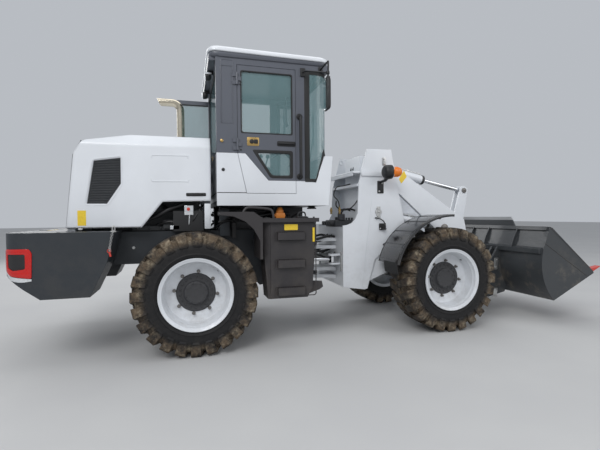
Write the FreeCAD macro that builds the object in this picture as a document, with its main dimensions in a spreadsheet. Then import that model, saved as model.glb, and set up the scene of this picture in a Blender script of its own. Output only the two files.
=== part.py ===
import FreeCAD, Part
import Sketcher
import math
import os
import re
from FreeCAD import Vector

# An articulated wheel loader. +X forward, +Y left, +Z up, millimetres. Sizes are stated from the
# articulation pivot, and every sub-part's placement then shifts it so that X is 0 at mid length.

SIZES = [
    # alias, value, meaning
    ("rear_axle_x", -1390, "rear axle, behind the pivot"),
    ("front_axle_x", 1390, "front axle, ahead of the pivot"),
    ("track", 1590, "between wheel centres"),
    ("tyre_radius", 587.5, "over the lugs"),
    ("tyre_width", 410, "over the shoulders"),
    ("lug_height", 34, "tread depth"),
    ("lug_count", 24, "lugs on each side of a tyre"),
    ("lug_lean", 0.9, "how far a lug leans back, in half pitches"),
    ("lug_share", 1.46, "width of a lug, in half pitches"),
    ("crown_half", 14, "half width of the rib in the middle of the tread"),
    ("rim_facets", 32, "flats round a rim"),
    ("rim_radius", 342, "rim flange"),
    ("rim_wall", 30, "rim flange down to its well"),
    ("dish_depth", 196, "rim edge to disc"),
    ("disc_wall", 22, "wheel disc"),
    ("hub_radius", 187, "dark hub cap"),
    ("hub_height", 20, "hub cap out of the disc"),
    ("axle_radius", 105, "axle tube"),
    ("diff_radius", 185, "differential ball"),
    ("drum_radius", 165, "final drive drum"),
    ("rail_y", 450, "outer face of the rear rails"),
    ("rail_wall", 30, "rail plate"),
    ("rail_top", 1173, "top of the rails"),
    ("rail_low", 845, "underside of the rails"),
    ("rail_front", -420, "front end of the rails"),
    ("bulkhead_x", -640, "rear frame bulkhead"),
    ("bulkhead_wall", 30, "bulkhead plates"),
    ("hinge_radius", 110, "rounded end of the pivot plates"),
    ("hinge_pin", 38, "pivot pin radius"),
    ("hinge_top", 980, "mid height of the upper pivot plate"),
    ("hinge_low", 620, "mid height of the lower pivot plate"),
    ("hinge_plate", 40, "pivot plates"),
    ("hinge_gap", 6, "between pivot plates"),
    ("running", 0.3, "running clearance on a pin"),
    ("ballast_rear", -2998, "rear face of the counterweight"),
    ("ballast_front", -2560, "inner front face of the counterweight"),
    ("ballast_top", 1190, "top of the counterweight"),
    ("ballast_y", 900, "side of the counterweight"),
    ("ballast_wing", 470, "inner face of the wings"),
    ("ballast_corner", 200, "rounded rear corner"),
    ("hitch_low", 880, "underside of the tow hitch"),
    ("hitch_wall", 30, "tow hitch ears"),
    ("hitch_open", 80, "between the tow hitch ears"),
    ("hitch_half", 80, "half width of the tow hitch"),
    ("hitch_reach", 130, "depth of the tow hitch slot"),
    ("hitch_bore", 20, "tow pin hole radius"),
    ("hood_y", 620, "side of the hood"),
    ("hood_wall", 18, "hood shell"),
    ("hood_rear", -2556, "rear foot of the hood"),
    ("hood_foot", 1219, "rear foot height"),
    ("hood_front", -1225, "front edge"),
    ("hood_top", 2130, "top of the hood"),
    ("hood_corner", 80, "rounded rear corners"),
    ("hood_shoulder", 102, "sloped long edges"),
    ("louvre_pitch", 34, "between louvres"),
    ("pipe_radius", 42, "exhaust pipe"),
    ("pipe_x", -1518, "exhaust pipe position"),
    ("pipe_top", 2641, "centre line of the exhaust bend's outlet"),
    ("pipe_bend", 90, "exhaust bend radius"),
    ("cab_rear", -1170, "rear face of the cab"),
    ("cab_front", 75, "front of the lower cab"),
    ("cab_y", 700, "side of the cab"),
    ("cab_wall", 50, "cab walls"),
    ("cab_low", 1430, "underside of the cab"),
    ("cab_floor", 1480, "cab floor"),
    ("cab_split", 1965, "top of the white lower cab"),
    ("cab_top", 2940, "top of the cab frame"),
    ("cab_beam", 75, "roof beams"),
    ("door_rear", -955, "hinge side of the door"),
    ("door_front", -343, "free side of the door"),
    ("door_low", 1558, "foot of the door"),
    ("door_foot", -866, "hinge side of the door at its foot"),
    ("door_rail", 36, "door frame rails"),
    ("door_rung", 0.235, "top of the door's middle rail, as a share of the frame's height"),
    ("glass_low", 1690, "lowest glass"),
    ("glass_foot", -119, "front end of the lowest glass"),
    ("glass_rise", -18, "where the slanted sill meets the cowl"),
    ("door_gap", 4, "round the door"),
    ("pillar_front", -240, "front of the pillar ahead of the door"),
    ("screen_front", 30, "front of the windscreen"),
    ("screen_corner", 150, "rounded windscreen corner"),
    ("pane", 8, "glass"),
    ("knuckle", 40, "hinge knuckle"),
    ("hinge_pin_y", 12.3, "door hinge pin off the cab side"),
    ("roof_rear", -1250, "rear of the roof"),
    ("roof_front", 40, "front of the roof"),
    ("roof_y", 735, "side of the roof"),
    ("roof_wall", 88, "roof"),
    ("fender_y", 1000, "outer edge of the fenders"),
    ("fender_in", 630, "inner edge of the fenders"),
    ("fender_wall", 26, "fender plate"),
    ("fender_rear", -1165, "rear end of the rear fenders"),
    ("fender_front", -761, "front of the rear fenders"),
    ("step_count", 3, "steps"),
    ("tread_length", 274, "step treads"),
    ("step_low", 500, "foot of the step box"),
    ("step_high", 1258, "underside of the step box's top plate"),
    ("step_y", 958, "outer face of the step box"),
    ("side_y", 450, "outer face of the front frame plates"),
    ("side_wall", 25, "front frame plates"),
    ("inner_y", 230, "outer face of the inner tower plates"),
    ("tower_top", 2110, "top of the towers"),
    ("shelf_top", 1700, "top of the shelf between the towers"),
    ("shelf_wall", 36, "shelf"),
    ("wall_x", 606, "wall between the towers"),
    ("floor_top", 1180, "floor plate under the towers"),
    ("frame_low", 436, "lowest point of the front frame"),
    ("fork_x", 291, "rear plate of the front frame"),
    ("tilt_pin", 34, "tilt cylinder base pin radius"),
    ("arm_x", 850, "lift arm pivot"),
    ("arm_z", 1840, "lift arm pivot height"),
    ("arm_y", 405, "outer face of the arms"),
    ("arm_wall", 50, "arm plates"),
    ("arm_boss", 105, "boss at the arm pivot"),
    ("arm_end", 85, "arm end at the bucket pin"),
    ("pin_radius", 40, "main pins"),
    ("bucket_x", 2348, "bucket pin"),
    ("bucket_z", 313, "bucket pin height"),
    ("lever_x", 2114, "lever pivot"),
    ("lever_z", 1000, "lever pivot height"),
    ("lever_top_x", 2261, "lever top pin"),
    ("lever_top_z", 1656, "lever top pin height"),
    ("lever_low_x", 1950, "lever lower pin"),
    ("lever_low_z", 408, "lever lower pin height"),
    ("link_x", 2253, "link pin on the bucket"),
    ("link_z", 522, "link pin height"),
    ("tube_x", 1920, "cross tube of the arms"),
    ("tube_z", 1010, "cross tube height"),
    ("tube_radius", 80, "cross tube"),
    ("tilt_x", 826, "tilt cylinder base pin"),
    ("tilt_z", 1971, "tilt cylinder base pin height"),
    ("tilt_radius", 58, "tilt cylinder barrel"),
    ("tilt_length", 840, "tilt cylinder barrel from its pin"),
    ("lift_x", 749, "lift cylinder base pin"),
    ("lift_z", 1358, "lift cylinder base pin height"),
    ("lift_eye_x", 1700, "lift cylinder pin on the arms"),
    ("lift_eye_z", 1150, "height of that pin"),
    ("lift_y", 305, "lift cylinder centre"),
    ("lift_radius", 48, "lift cylinder barrel"),
    ("lift_length", 790, "lift cylinder barrel from its pin"),
    ("rod_radius", 28, "lift and tilt rods"),
    ("eye_radius", 52, "cylinder eyes"),
    ("eye_gap", 6, "each side of an eye"),
    ("steer_rear_x", -520, "steering cylinder rear pin"),
    ("steer_front_x", 195, "steering cylinder front pin"),
    ("steer_rear_y", 300, "rear pin from the middle"),
    ("steer_front_y", 330, "front pin from the middle"),
    ("steer_z", 800, "steering cylinder height"),
    ("steer_radius", 36, "steering cylinder barrel"),
    ("steer_length", 482, "steering cylinder barrel from its pin"),
    ("lever_plate", 25, "lever cheek plates"),
    ("lever_inner", 36, "inner face of the lever cheeks"),
    ("link_half", 30, "half width of the link and the tilt eye"),
    ("bucket_y", 1100, "side of the bucket"),
    ("bucket_wall", 20, "bucket shell"),
    ("bucket_side", 25, "bucket side plates"),
    ("lip_x", 3320, "bucket lip"),
    ("lip_z", 590, "bucket lip height"),
    ("heel_x", 2703, "heel of the bucket"),
    ("heel_z", 291, "heel height"),
    ("rib_inner", 155, "inner ribs on the bucket's back"),
    ("rib_outer", 650, "outer ribs on the bucket's back"),
    ("rib_wall", 16, "ribs on the bucket's back"),
    ("guard_x", 2640, "spill guard above the bucket's back"),
    ("guard_wall", 12, "spill guard plate"),
    ("guard_top", 1285, "top of the spill guard"),
    ("guard_half", 512, "half width of the spill guard at its top"),
    ("guard_foot", 590, "half width of the spill guard at its foot"),
    ("tooth_tip", 3477, "tip of the teeth"),
    ("tooth_count", 8, "bucket teeth"),
]

doc = FreeCAD.newDocument("WheelLoader")
sheet = doc.addObject("Spreadsheet::Sheet", "Sizes")
for row, (alias, value, meaning) in enumerate(SIZES, start=1):
    sheet.set("A%d" % row, meaning)
    sheet.set("B%d" % row, str(value))
    sheet.setAlias("B%d" % row, alias)
doc.recompute()


class Sheet:
    """The sheet's sizes as plain numbers, for shapes that are worked out in code."""


s = Sheet()
for alias, value, meaning in SIZES:
    setattr(s, alias, float(sheet.get(alias)))

NAMES = re.compile(r"\b(" + "|".join(alias for alias, value, meaning in SIZES) + r")\b")
SHIFT = "-(ballast_rear + tooth_tip) / 2"
TURN = {"X": ((0, 1, 0), 90), "Y": ((1, 0, 0), -90), "Z": ((0, 0, 1), 0)}
PLANES = {"XZ": ("XZ_Plane", -1), "XY": ("XY_Plane", 1), "YZ": ("YZ_Plane", 1)}
HINGE_LEVELS = (s.cab_split + 70, s.cab_top - 240)
GRILLE = ((246, 270), (482, 236), (481, 485), (355, 679), (181, 679))
nodes = {}


def bound(text):
    """An expression with each alias read from the sheet."""
    return NAMES.sub(r"Sizes.\1", str(text))


def bind(item, **sizes):
    """Binds an object's properties to expressions."""
    for name, text in sizes.items():
        item.setExpression(name, bound(text))
    return item


def at(item, x="0", y="0", z="0"):
    """Binds an object's place to expressions."""
    for axis, text in (("x", x), ("y", y), ("z", z)):
        item.setExpression("Placement.Base." + axis, bound(text))
    return item


def box(name, x0, x1, y0, y1, z0, z1):
    """A block between two places on each axis."""
    item = doc.addObject("Part::Box", name)
    bind(item, Length="(%s) - (%s)" % (x1, x0), Width="(%s) - (%s)" % (y1, y0), Height="(%s) - (%s)" % (z1,
                                                                                                        z0))
    return at(item, x0, y0, z0)


def bar(name, axis, radius, length, x="0", y="0", z="0"):
    """A round bar that starts at a place and runs along X, Y or Z."""
    item = doc.addObject("Part::Cylinder", name)
    turn, angle = TURN[axis]
    item.Placement = FreeCAD.Placement(Vector(0, 0, 0), FreeCAD.Rotation(Vector(*turn), angle))
    bind(item, Radius=radius, Height=length)
    return at(item, x, y, z)


def plate(name, plane, corners, low, high, rounds=()):
    """A body padded from a bound outline; rounds pairs a radius with the corners it rounds."""
    body = doc.addObject("PartDesign::Body", name)
    role, sign = PLANES[plane]
    sketch = body.newObject("Sketcher::SketchObject", name + "Outline")
    sketch.AttachmentSupport = [([f for f in body.Origin.OriginFeatures if f.Role == role][0], "")]
    sketch.MapMode = "FlatFace"
    count = len(corners)
    ring = [Vector(math.cos(2 * math.pi * i / count), math.sin(2 * math.pi * i / count), 0) * 1000
            for i in range(count)]
    sketch.addGeometry([Part.LineSegment(ring[i], ring[(i + 1) % count]) for i in range(count)], False)
    rules = [Sketcher.Constraint("Coincident", i, 2, (i + 1) % count, 1) for i in range(count)]
    for i, point in enumerate(ring):
        rules.append(Sketcher.Constraint("DistanceX", -1, 1, i, 1, point.x))
        rules.append(Sketcher.Constraint("DistanceY", -1, 1, i, 1, point.y))
    sketch.addConstraint(rules)
    for i, (across, up) in enumerate(corners):
        sketch.setExpression("Constraints[%d]" % (count + 2 * i), bound(across))
        sketch.setExpression("Constraints[%d]" % (count + 2 * i + 1), bound(up))
    start = low if sign > 0 else "-(%s)" % high
    sketch.setExpression("AttachmentOffset.Base.z", bound(start))
    pad = body.newObject("PartDesign::Pad", name + "Pad")
    pad.Profile = sketch
    pad.setExpression("Length", bound("(%s) - (%s)" % (high, low)))
    doc.recompute()
    for number, (radius, picks) in enumerate(rounds):
        ends = [sketch.Placement.multVec(sketch.Geometry[i].StartPoint) for i in picks]
        normal = sketch.Placement.Rotation.multVec(Vector(0, 0, 1))
        before = body.Tip
        edges = ["Edge%d" % (k + 1) for k, edge in enumerate(before.Shape.Edges)
                 if len(edge.Vertexes) == 2 and upright(edge, normal, ends)]
        fillet = body.newObject("PartDesign::Fillet", "%sRound%d" % (name, number))
        fillet.Base = (before, edges)
        fillet.setExpression("Radius", bound(radius))
        body.Tip = fillet
        doc.recompute()
    return body


def upright(edge, normal, ends):
    """True for a straight edge along the normal that starts over one of the ends."""
    run = edge.Vertexes[1].Point - edge.Vertexes[0].Point
    if run.cross(normal).Length > 1e-6 * run.Length:
        return False
    spots = [edge.Vertexes[0].Point - end for end in ends]
    return any(spot.cross(normal).Length < 1e-3 for spot in spots)


def fuse(name, *items):
    item = doc.addObject("Part::MultiFuse", name)
    item.Shapes = list(items)
    item.Refine = True
    return item


def cut(name, base, *tools):
    item = doc.addObject("Part::Cut", name)
    item.Base = base
    item.Tool = tools[0] if len(tools) == 1 else fuse(name + "Tools", *tools)
    item.Refine = True
    return item


def group(name, *items):
    """Solids that don't touch, kept as one object."""
    item = doc.addObject("Part::Compound", name)
    item.Links = list(items)
    return item


def mirrored(name, item):
    """The same piece on the other side of the machine."""
    copy = doc.addObject("Part::Mirroring", name)
    copy.Source = item
    copy.Base = Vector(0, 0, 0)
    copy.Normal = Vector(0, 1, 0)
    return copy


def pair(name, item):
    """A piece and its mirror image, fused where they meet or else kept side by side."""
    return group(name, item, mirrored(name + "Other", item))


def solid(name, shape):
    item = doc.addObject("Part::Feature", name)
    item.Shape = shape
    return item


def node(label, item):
    """Names a finished sub-part and shifts it to the machine's own origin."""
    if item.TypeId != "Part::Compound":
        item = group(label + "_piece", item)
    item.Label = label
    item.setExpression("Placement.Base.x", bound(SHIFT))
    nodes[label] = item
    return item


def ring_solid(profile, count, phase=0.0):
    """A ring of flat facets about Y from (radius, y) corners."""
    turns = [2 * math.pi * (i + phase) / count for i in range(count)]
    rows = [[Vector(r * math.cos(a), y, r * math.sin(a)) for r, y in profile] for a in turns]
    faces = []
    for i in range(count):
        here, there = rows[i], rows[(i + 1) % count]
        for j in range(len(profile)):
            k = (j + 1) % len(profile)
            faces.append(Part.Face(Part.makePolygon([here[j], here[k], there[k], there[j], here[j]])))
    return closed(faces)


def closed(faces):
    """One outward solid from flat faces that share their edges."""
    shell = Part.makeShell(faces)
    shell.sewShape()
    body = Part.Solid(Part.Shell(shell.Faces))
    if body.Volume < 0:
        body.reverse()
    return body


def skinned(rings):
    """A solid from rings of points with the same count, closed by a flat face at each end."""
    faces = []
    for low, high in zip(rings, rings[1:]):
        for i in range(len(low)):
            j = (i + 1) % len(low)
            for corners in ((low[i], low[j], high[j]), (low[i], high[j], high[i])):
                faces.append(Part.Face(Part.makePolygon(corners + corners[:1])))
    for ring in (rings[0], rings[-1]):
        faces.append(Part.Face(Part.makePolygon(ring + ring[:1])))
    return closed(faces)


def flat_ring(centre, axis, radius, flats):
    """Evenly spaced points round an axis."""
    side = Vector(axis.y, axis.z, axis.x).cross(axis).normalize()
    other = axis.cross(side)
    turns = [2 * math.pi * (i + 0.5) / flats for i in range(flats)]
    return [centre + side * (radius * math.cos(a)) + other * (radius * math.sin(a)) for a in turns]


def flat_turned(centre, axis, profile, flats=24):
    """A turned piece with flats, from (along, radius) steps."""
    return skinned([flat_ring(centre + axis * along, axis, radius, flats) for along, radius in profile])


def flat_tube(points, radius, flats=10):
    """A bent tube with flats through points in one plane."""
    rings = []
    side = None
    for i, point in enumerate(points):
        run = (points[min(i + 1, len(points) - 1)] - points[max(i - 1, 0)]).normalize()
        if side is None:
            side = Vector(run.y, run.z, run.x).cross(run).normalize()
        side = (side - run * side.dot(run)).normalize()
        other = run.cross(side)
        turns = [2 * math.pi * (k + 0.5) / flats for k in range(flats)]
        rings.append([point + side * (radius * math.cos(a)) + other * (radius * math.sin(a)) for a in turns])
    return skinned(rings)


def tyre_shape():
    """A tyre about Y with staggered lugs that lean back from a narrow crown rib."""
    count = int(s.lug_count) * 2
    step = 2 * math.pi / count
    half = s.tyre_width / 2
    base = s.tyre_radius - s.lug_height
    crown = [(base, s.crown_half, 0), (s.tyre_radius, s.crown_half, 0)]
    edge = [(base - 10, half - 14, s.lug_lean), (s.tyre_radius - 4, half - 14, s.lug_lean)]
    flank = [(s.tyre_radius - 105, half, s.lug_lean), (s.tyre_radius - 175, half - 8, s.lug_lean),
             (s.rim_radius, half - 30, s.lug_lean)]

    def spot(corner, hand, turn):
        radius, y, lean = corner
        start = turn if (turn + (hand < 0)) % 2 == 0 else turn - 1 + s.lug_share
        angle = -math.pi / 2 + (start - lean) * step
        return Vector(radius * math.cos(angle), hand * y, radius * math.sin(angle))

    faces = []
    for hand in (1, -1):
        for i in range(count):
            foot, top = [spot(c, hand, i) for c in crown], [spot(c, hand, i + 1) for c in crown]
            low, high = [spot(c, hand, i) for c in edge], [spot(c, hand, i + 1) for c in edge]
            sides = [(spot(c, hand, i), spot(c, hand, i + 1)) for c in flank]
            lug = (i + (hand < 0) + 1) % 2
            strip = [(foot[lug], top[lug]), (low[lug], high[lug])] + sides
            for (a, b), (c, d) in zip(strip, strip[1:]):
                faces += [(a, b, d), (a, d, c)]
            faces += [(foot[0], foot[1], low[1]), (foot[0], low[1], low[0]), (low[0], low[1], sides[0][0])]
            if not lug:
                faces += [(foot[0], top[0], top[1]), (foot[0], top[1], foot[1])]
    for i in range(count):
        for corner in (crown[1], flank[-1]):
            a, b = spot(corner, 1, i), spot(corner, 1, i + 1)
            c, d = spot(corner, -1, i), spot(corner, -1, i + 1)
            faces += [(a, b, d), (a, d, c)]
    return closed([Part.Face(Part.makePolygon([a, b, c, a])) for a, b, c in faces])


def direction(x0, z0, x1, z1):
    """Unit vector and length between two places in the XZ plane."""
    run = Vector(x1 - x0, 0, z1 - z0)
    return run / run.Length, run.Length


def link_outline(name, circles, low, high):
    """A plate round a chain of circles (x, z, radius), joined by straight flanks."""
    shape = None
    for (x0, z0, r0), (x1, z1, r1) in zip(circles, circles[1:]):
        run, length = direction(x0, z0, x1, z1)
        lean = math.asin((r0 - r1) / length)
        base = math.atan2(run.z, run.x)
        corners = []
        for x, z, r, sign in ((x0, z0, r0, 1), (x1, z1, r1, 1), (x1, z1, r1, -1), (x0, z0, r0, -1)):
            turn = base + sign * (math.pi / 2 - lean)
            corners.append(Vector(x + r * math.cos(turn), low, z + r * math.sin(turn)))
        web = Part.Face(Part.makePolygon(corners + corners[:1])).extrude(Vector(0, high - low, 0))
        shape = web if shape is None else shape.fuse(web)
    for x, z, r in circles:
        shape = shape.fuse(round_y(x, z, r, low, high))
    return solid(name, shape.removeSplitter())


def round_y(x, z, radius, low, high):
    return Part.makeCylinder(radius, high - low, Vector(x, low, z), Vector(0, 1, 0))


def prism_y(points, low, high):
    """A flat-sided block from (x, z) corners."""
    corners = [Vector(x, low, z) for x, z in points]
    return Part.Face(Part.makePolygon(corners + corners[:1])).extrude(Vector(0, high - low, 0))


def cut_edges(shape, width, wanted):
    """Chamfers the wanted edges."""
    return shape.makeChamfer(width, [edge for edge in shape.Edges if wanted(edge)])


def holes(shape, places, radius, low, high):
    for x, z in places:
        shape = shape.cut(round_y(x, z, radius, low, high))
    return shape


def build_wheels():
    outer = s.tyre_width / 2 - 10
    disc = outer - s.dish_depth
    seat = s.rim_radius * math.cos(math.pi * s.lug_share / (2 * s.lug_count)) - s.running
    well = s.rim_radius - s.rim_wall
    face = disc + s.disc_wall
    cap = face + s.hub_height
    middle, across, flats = Vector(0, 0, 0), Vector(0, 1, 0), int(s.rim_facets)
    rim = flat_turned(middle, across, [(-outer, seat), (outer, seat)], flats)
    rim = rim.cut(flat_turned(middle, across, [(-outer - 1, well - 6), (disc, well - 6)], flats))
    rim = rim.cut(flat_turned(middle, across, [(face, well - 24), (face + 30, well - 4), (outer + 1, well)],
                              flats))
    hub = [(disc + 2, s.hub_radius), (cap, s.hub_radius), (cap + 1, s.hub_radius * 0.62),
           (cap + 24, s.hub_radius * 0.45)]
    rim = rim.fuse(flat_turned(middle, across, hub, flats)).removeSplitter()
    tyre = tyre_shape()
    for label, shape in (("tyre", tyre), ("rim", rim)):
        for hand, side in (("left", 1), ("right", -1)):
            made = shape if side > 0 else shape.mirror(Vector(0, 0, 0), Vector(0, 1, 0))
            for end, x in (("front", s.front_axle_x), ("rear", s.rear_axle_x)):
                item = solid("%s_%s_%s_shape" % (label, end, hand), made)
                item.Placement.Base = Vector(x, side * s.track / 2, s.tyre_radius)
                node("%s_%s_%s" % (label, end, hand), item)


def build_axle(label, x, nose):
    """Axle tube, differential and final drives; nose points towards the drive shaft."""
    end = s.track / 2 + s.tyre_width / 2 - 10 - s.dish_depth - s.running
    drum = end - 190
    half = [(60, s.diff_radius), (250, s.axle_radius), (drum, s.axle_radius), (drum + 8, s.drum_radius),
            (end, s.drum_radius)]
    profile = [(-along, radius) for along, radius in reversed(half)] + half
    centre = Vector(x, 0, s.tyre_radius)
    shape = flat_turned(centre, Vector(0, 1, 0), profile)
    shape = shape.fuse(flat_turned(centre, Vector(nose, 0, 0), [(0, 130), (300, 70)], 16))
    return node(label, solid(label + "_casting", shape))


def build_rear_frame():
    rail = plate("Rail", "XZ", [("ballast_front", "rail_low"), ("ballast_front", "rail_top"),
                                ("rail_front - 300", "rail_top"), ("rail_front", "rail_top - 160"),
                                ("rail_front", "hinge_low"), ("bulkhead_x - 60", "hinge_low - 60"),
                                ("bulkhead_x - 260", "rail_low - 60"), ("bulkhead_x - 420", "rail_low")],
                 "rail_y - rail_wall", "rail_y")
    saddle = box("AxleSaddle", "rear_axle_x - 130", "rear_axle_x + 130", "rail_y - 150",
                 "rail_y - rail_wall",
                 "tyre_radius + axle_radius", "rail_low + 60")
    mount = box("CabMount", "cab_rear + 40", "cab_rear + 140", "rail_y - rail_wall", "rail_y + 70",
                "rail_top - 60", "cab_low")
    mount_front = box("CabMountFront", "rail_front - 140", "rail_front - 40", "rail_y - rail_wall",
                      "rail_y + 70",
                      "rail_top - 200", "cab_low")
    edge = "hood_y - 2"
    post = plate("HoodPost", "YZ", [("rail_y - rail_wall", "rail_top - 60"), ("rail_y", "rail_top - 60"),
                                    ("rail_y", "1195"), (edge, "1195"), (edge, "1479.5"),
                                    (edge + " - 45", "1479.5"), (edge + " - 45", "1245"),
                                    ("rail_y - rail_wall", "1245")],
                 "hood_front - 64", "hood_front - 8")
    right = fuse("RailSet", rail, saddle, mount, mount_front, post)
    bulkhead = box("Bulkhead", "bulkhead_x", "bulkhead_x + bulkhead_wall", "-(rail_y - rail_wall)",
                   "rail_y - rail_wall", "hinge_low - 40", "hinge_top + 80")
    cross = box("CrossMember", "-2080", "-2040", "-(rail_y - rail_wall)", "rail_y - rail_wall", "rail_low",
                "rail_low + 60")
    tie = box("RearTie", "ballast_front", "ballast_front + 40", "-(rail_y - rail_wall)",
              "rail_y - rail_wall",
              "rail_low", "rail_top")
    parts = [right, mirrored("RailSetOther", right), bulkhead, cross, tie]
    for name, level in (("Upper", "hinge_top"), ("Lower", "hinge_low")):
        tongue = plate("PivotTongue" + name, "XY",
                       [("bulkhead_x", "-200"), ("-60", "-hinge_radius"), ("hinge_radius", "-hinge_radius"),
                        ("hinge_radius", "hinge_radius"), ("-60", "hinge_radius"), ("bulkhead_x", "200")],
                       level + " - hinge_plate / 2", level + " + hinge_plate / 2",
                       [("hinge_radius - 2", (2, 3))])
        bore = bar("PivotBore" + name, "Z", "hinge_pin + running", "hinge_plate * 3", "0", "0",
                   level + " - hinge_plate * 1.5")
        parts.append(cut("PivotPlate" + name, tongue, bore))
    lugs = []
    for tag, side in (("L", 1), ("R", -1)):
        for level, shift in (("Up", 1), ("Down", -1)):
            y = side * s.steer_rear_y
            z0 = s.steer_z + shift * (s.steer_radius + s.eye_gap) - (20 if shift < 0 else 0)
            lug = Part.makeBox(s.steer_rear_x - s.bulkhead_x, 90, 20, Vector(s.bulkhead_x, y - 45, z0))
            lug = lug.fuse(Part.makeCylinder(45, 20, Vector(s.steer_rear_x, y, z0)))
            lugs.append(solid("SteerLug%s%s" % (tag, level), lug))
        pin = Part.makeCylinder(18, 2 * (s.steer_radius + s.eye_gap) + 40,
                                Vector(s.steer_rear_x, side * s.steer_rear_y,
                                       s.steer_z - s.steer_radius - s.eye_gap - 20))
        lugs.append(solid("SteerPin" + tag, pin))
    node("rear_frame", fuse("RearFrame", *parts, *lugs))


def build_ballast():
    core = plate("BallastCore", "XZ",
                 [("ballast_rear", "840"), ("ballast_rear", "ballast_top"), ("ballast_front", "ballast_top"),
                  ("ballast_front", "610"), ("-2695", "610")], "-ballast_wing", "ballast_wing")
    wing = plate("BallastWing", "XZ",
                 [("ballast_rear", "840"), ("ballast_rear", "ballast_top"), ("-2093", "ballast_top"),
                  ("-2162", "910"), ("-2305", "610"), ("-2695", "610")], "ballast_wing", "ballast_y")
    edge = plate("BallastEdge", "XY",
                 [("ballast_rear", "-ballast_y"), ("-2000", "-ballast_y"), ("-2000", "ballast_y"),
                  ("ballast_rear", "ballast_y")], "500", "ballast_top + 10", [("ballast_corner", (0, 3))])
    body = fuse("BallastBody", core, wing, mirrored("BallastWingOther", wing))
    rounded = doc.addObject("Part::Common", "BallastRounded")
    rounded.Base = body
    rounded.Tool = edge
    slot = box("HitchSlot", "ballast_rear - 10", "ballast_rear + hitch_reach", "-hitch_half", "hitch_half",
               "hitch_low", "ballast_top + 10")
    node("counterweight", cut("Ballast", rounded, slot))
    ears = []
    for name, low in (("Low", "hitch_low"), ("High", "hitch_low + hitch_open + hitch_wall")):
        ears.append(box("HitchEar" + name, "ballast_rear + 4", "ballast_rear + hitch_reach", "-hitch_half",
                        "hitch_half", low, low + " + hitch_wall"))
    back = box("HitchBack", "ballast_rear + hitch_reach - 20", "ballast_rear + hitch_reach", "-hitch_half",
               "hitch_half", "hitch_low", "hitch_low + hitch_open + 2 * hitch_wall")
    bore = bar("HitchBore", "Z", "hitch_bore", "400", "ballast_rear + 50", "0", "hitch_low - 100")
    node("tow_hitch", cut("TowHitch", fuse("HitchEars", *ears, back), bore))


def build_hood():
    y0, y1 = "-hood_y", "hood_y"
    outer = plate("HoodOuter", "XZ",
                  [("hood_rear", "hood_foot"), ("hood_rear + 72", "hood_top - 200"),
                   ("hood_rear + 146", "hood_top - 74"), ("hood_front - 770", "hood_top"),
                   ("hood_front", "hood_top"), ("hood_front", "hood_foot + 262"),
                   ("hood_front - 471", "hood_foot + 251"), ("hood_front - 670", "hood_foot")],
                  y0, y1, [("hood_corner", (1, 2)), ("hood_corner * 4", (3,))])
    inner = plate("HoodInner", "XZ",
                  [("hood_rear + hood_wall", "hood_foot - 50"), ("hood_rear + 72 + hood_wall",
                                                                 "hood_top - 200"),
                   ("hood_rear + 146 + hood_wall", "hood_top - 74 - hood_wall"),
                   ("hood_front - 770", "hood_top - hood_wall"), ("hood_front + 50", "hood_top - hood_wall"),
                   ("hood_front + 50", "hood_foot - 50")], "-(hood_y - hood_wall)", "hood_y - hood_wall",
                  [("hood_corner - hood_wall", (1, 2))])
    skins = []
    for name, block, side, crown, top in (
            ("Outer", outer, "hood_y", "hood_y - hood_shoulder * 0.6", "hood_top"),
            ("Inner", inner, "hood_y - hood_wall", "hood_y - hood_shoulder * 0.6 - hood_wall * 0.6",
             "hood_top - hood_wall")):
        low, knee = "hood_foot - 60", top + " - hood_shoulder"
        section = plate("HoodSection" + name, "YZ",
                        [("-(%s)" % side, low), (side, low), (side, knee), (crown, top), ("-(%s)" % crown,
                                                                                          top),
                         ("-(%s)" % side, knee)], "hood_rear - 20", "hood_front + 60",
                        [("hood_corner / 2", (2, 5))])
        skin = doc.addObject("Part::Common", "HoodForm" + name)
        skin.Base = block
        skin.Tool = section
        skins.append(skin)
    feet = [box("HoodFoot" + tag, "hood_rear + 4", "hood_rear + 70", low, high, "ballast_top",
                "hood_foot + 30")
            for tag, low, high in (("Left", "480", "590"), ("Right", "-590", "-480"))]
    shell = fuse("HoodShell", cut("HoodWalls", *skins), *feet)
    opening = plate("GrilleOpening", "XZ", [("hood_rear + %g" % x, "hood_top - %g" % z) for x, z in GRILLE],
                    "-(hood_y + 10)", "hood_y + 10")
    pipe_hole = bar("PipeHole", "Z", "pipe_radius + 4", "200", "pipe_x", "0", "hood_top - 100")
    node("hood", cut("Hood", shell, opening, pipe_hole))
    frame = prism_y([(s.hood_rear + x, s.hood_top - z) for x, z in GRILLE], s.hood_y - s.hood_wall,
                    s.hood_y - 4)
    drops = [z for x, z in GRILLE]
    rows = int((max(drops) - min(drops)) / s.louvre_pitch)
    for row in range(rows):
        slot = Part.makeBox(s.louvre_pitch * 12, s.hood_wall * 2, s.louvre_pitch * 0.45)
        slot.translate(Vector(s.hood_rear + GRILLE[-1][0] - s.hood_wall, s.hood_y - s.hood_wall + 5,
                              s.hood_top - max(drops) + (row + 0.3) * s.louvre_pitch))
        frame = frame.cut(slot)
    node("side_grilles", pair("SideGrilles", solid("SideLouvres", frame)))
    block = [box("EngineBlock", "-2300", "-1330", "-330", "330", "960", "hood_top - 370")]
    for name, x in (("Rear", "-2200"), ("Front", "-1500")):
        block.append(box("EngineFoot" + name, x, x + " + 80", "-(rail_y - rail_wall)", "rail_y - rail_wall",
                         "1000", "1060"))
    node("engine_block", fuse("Engine", *block))
    node("radiator", box("RadiatorCore", "-2440", "-2350", "-520", "520", "ballast_top", "hood_top - 250"))


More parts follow.
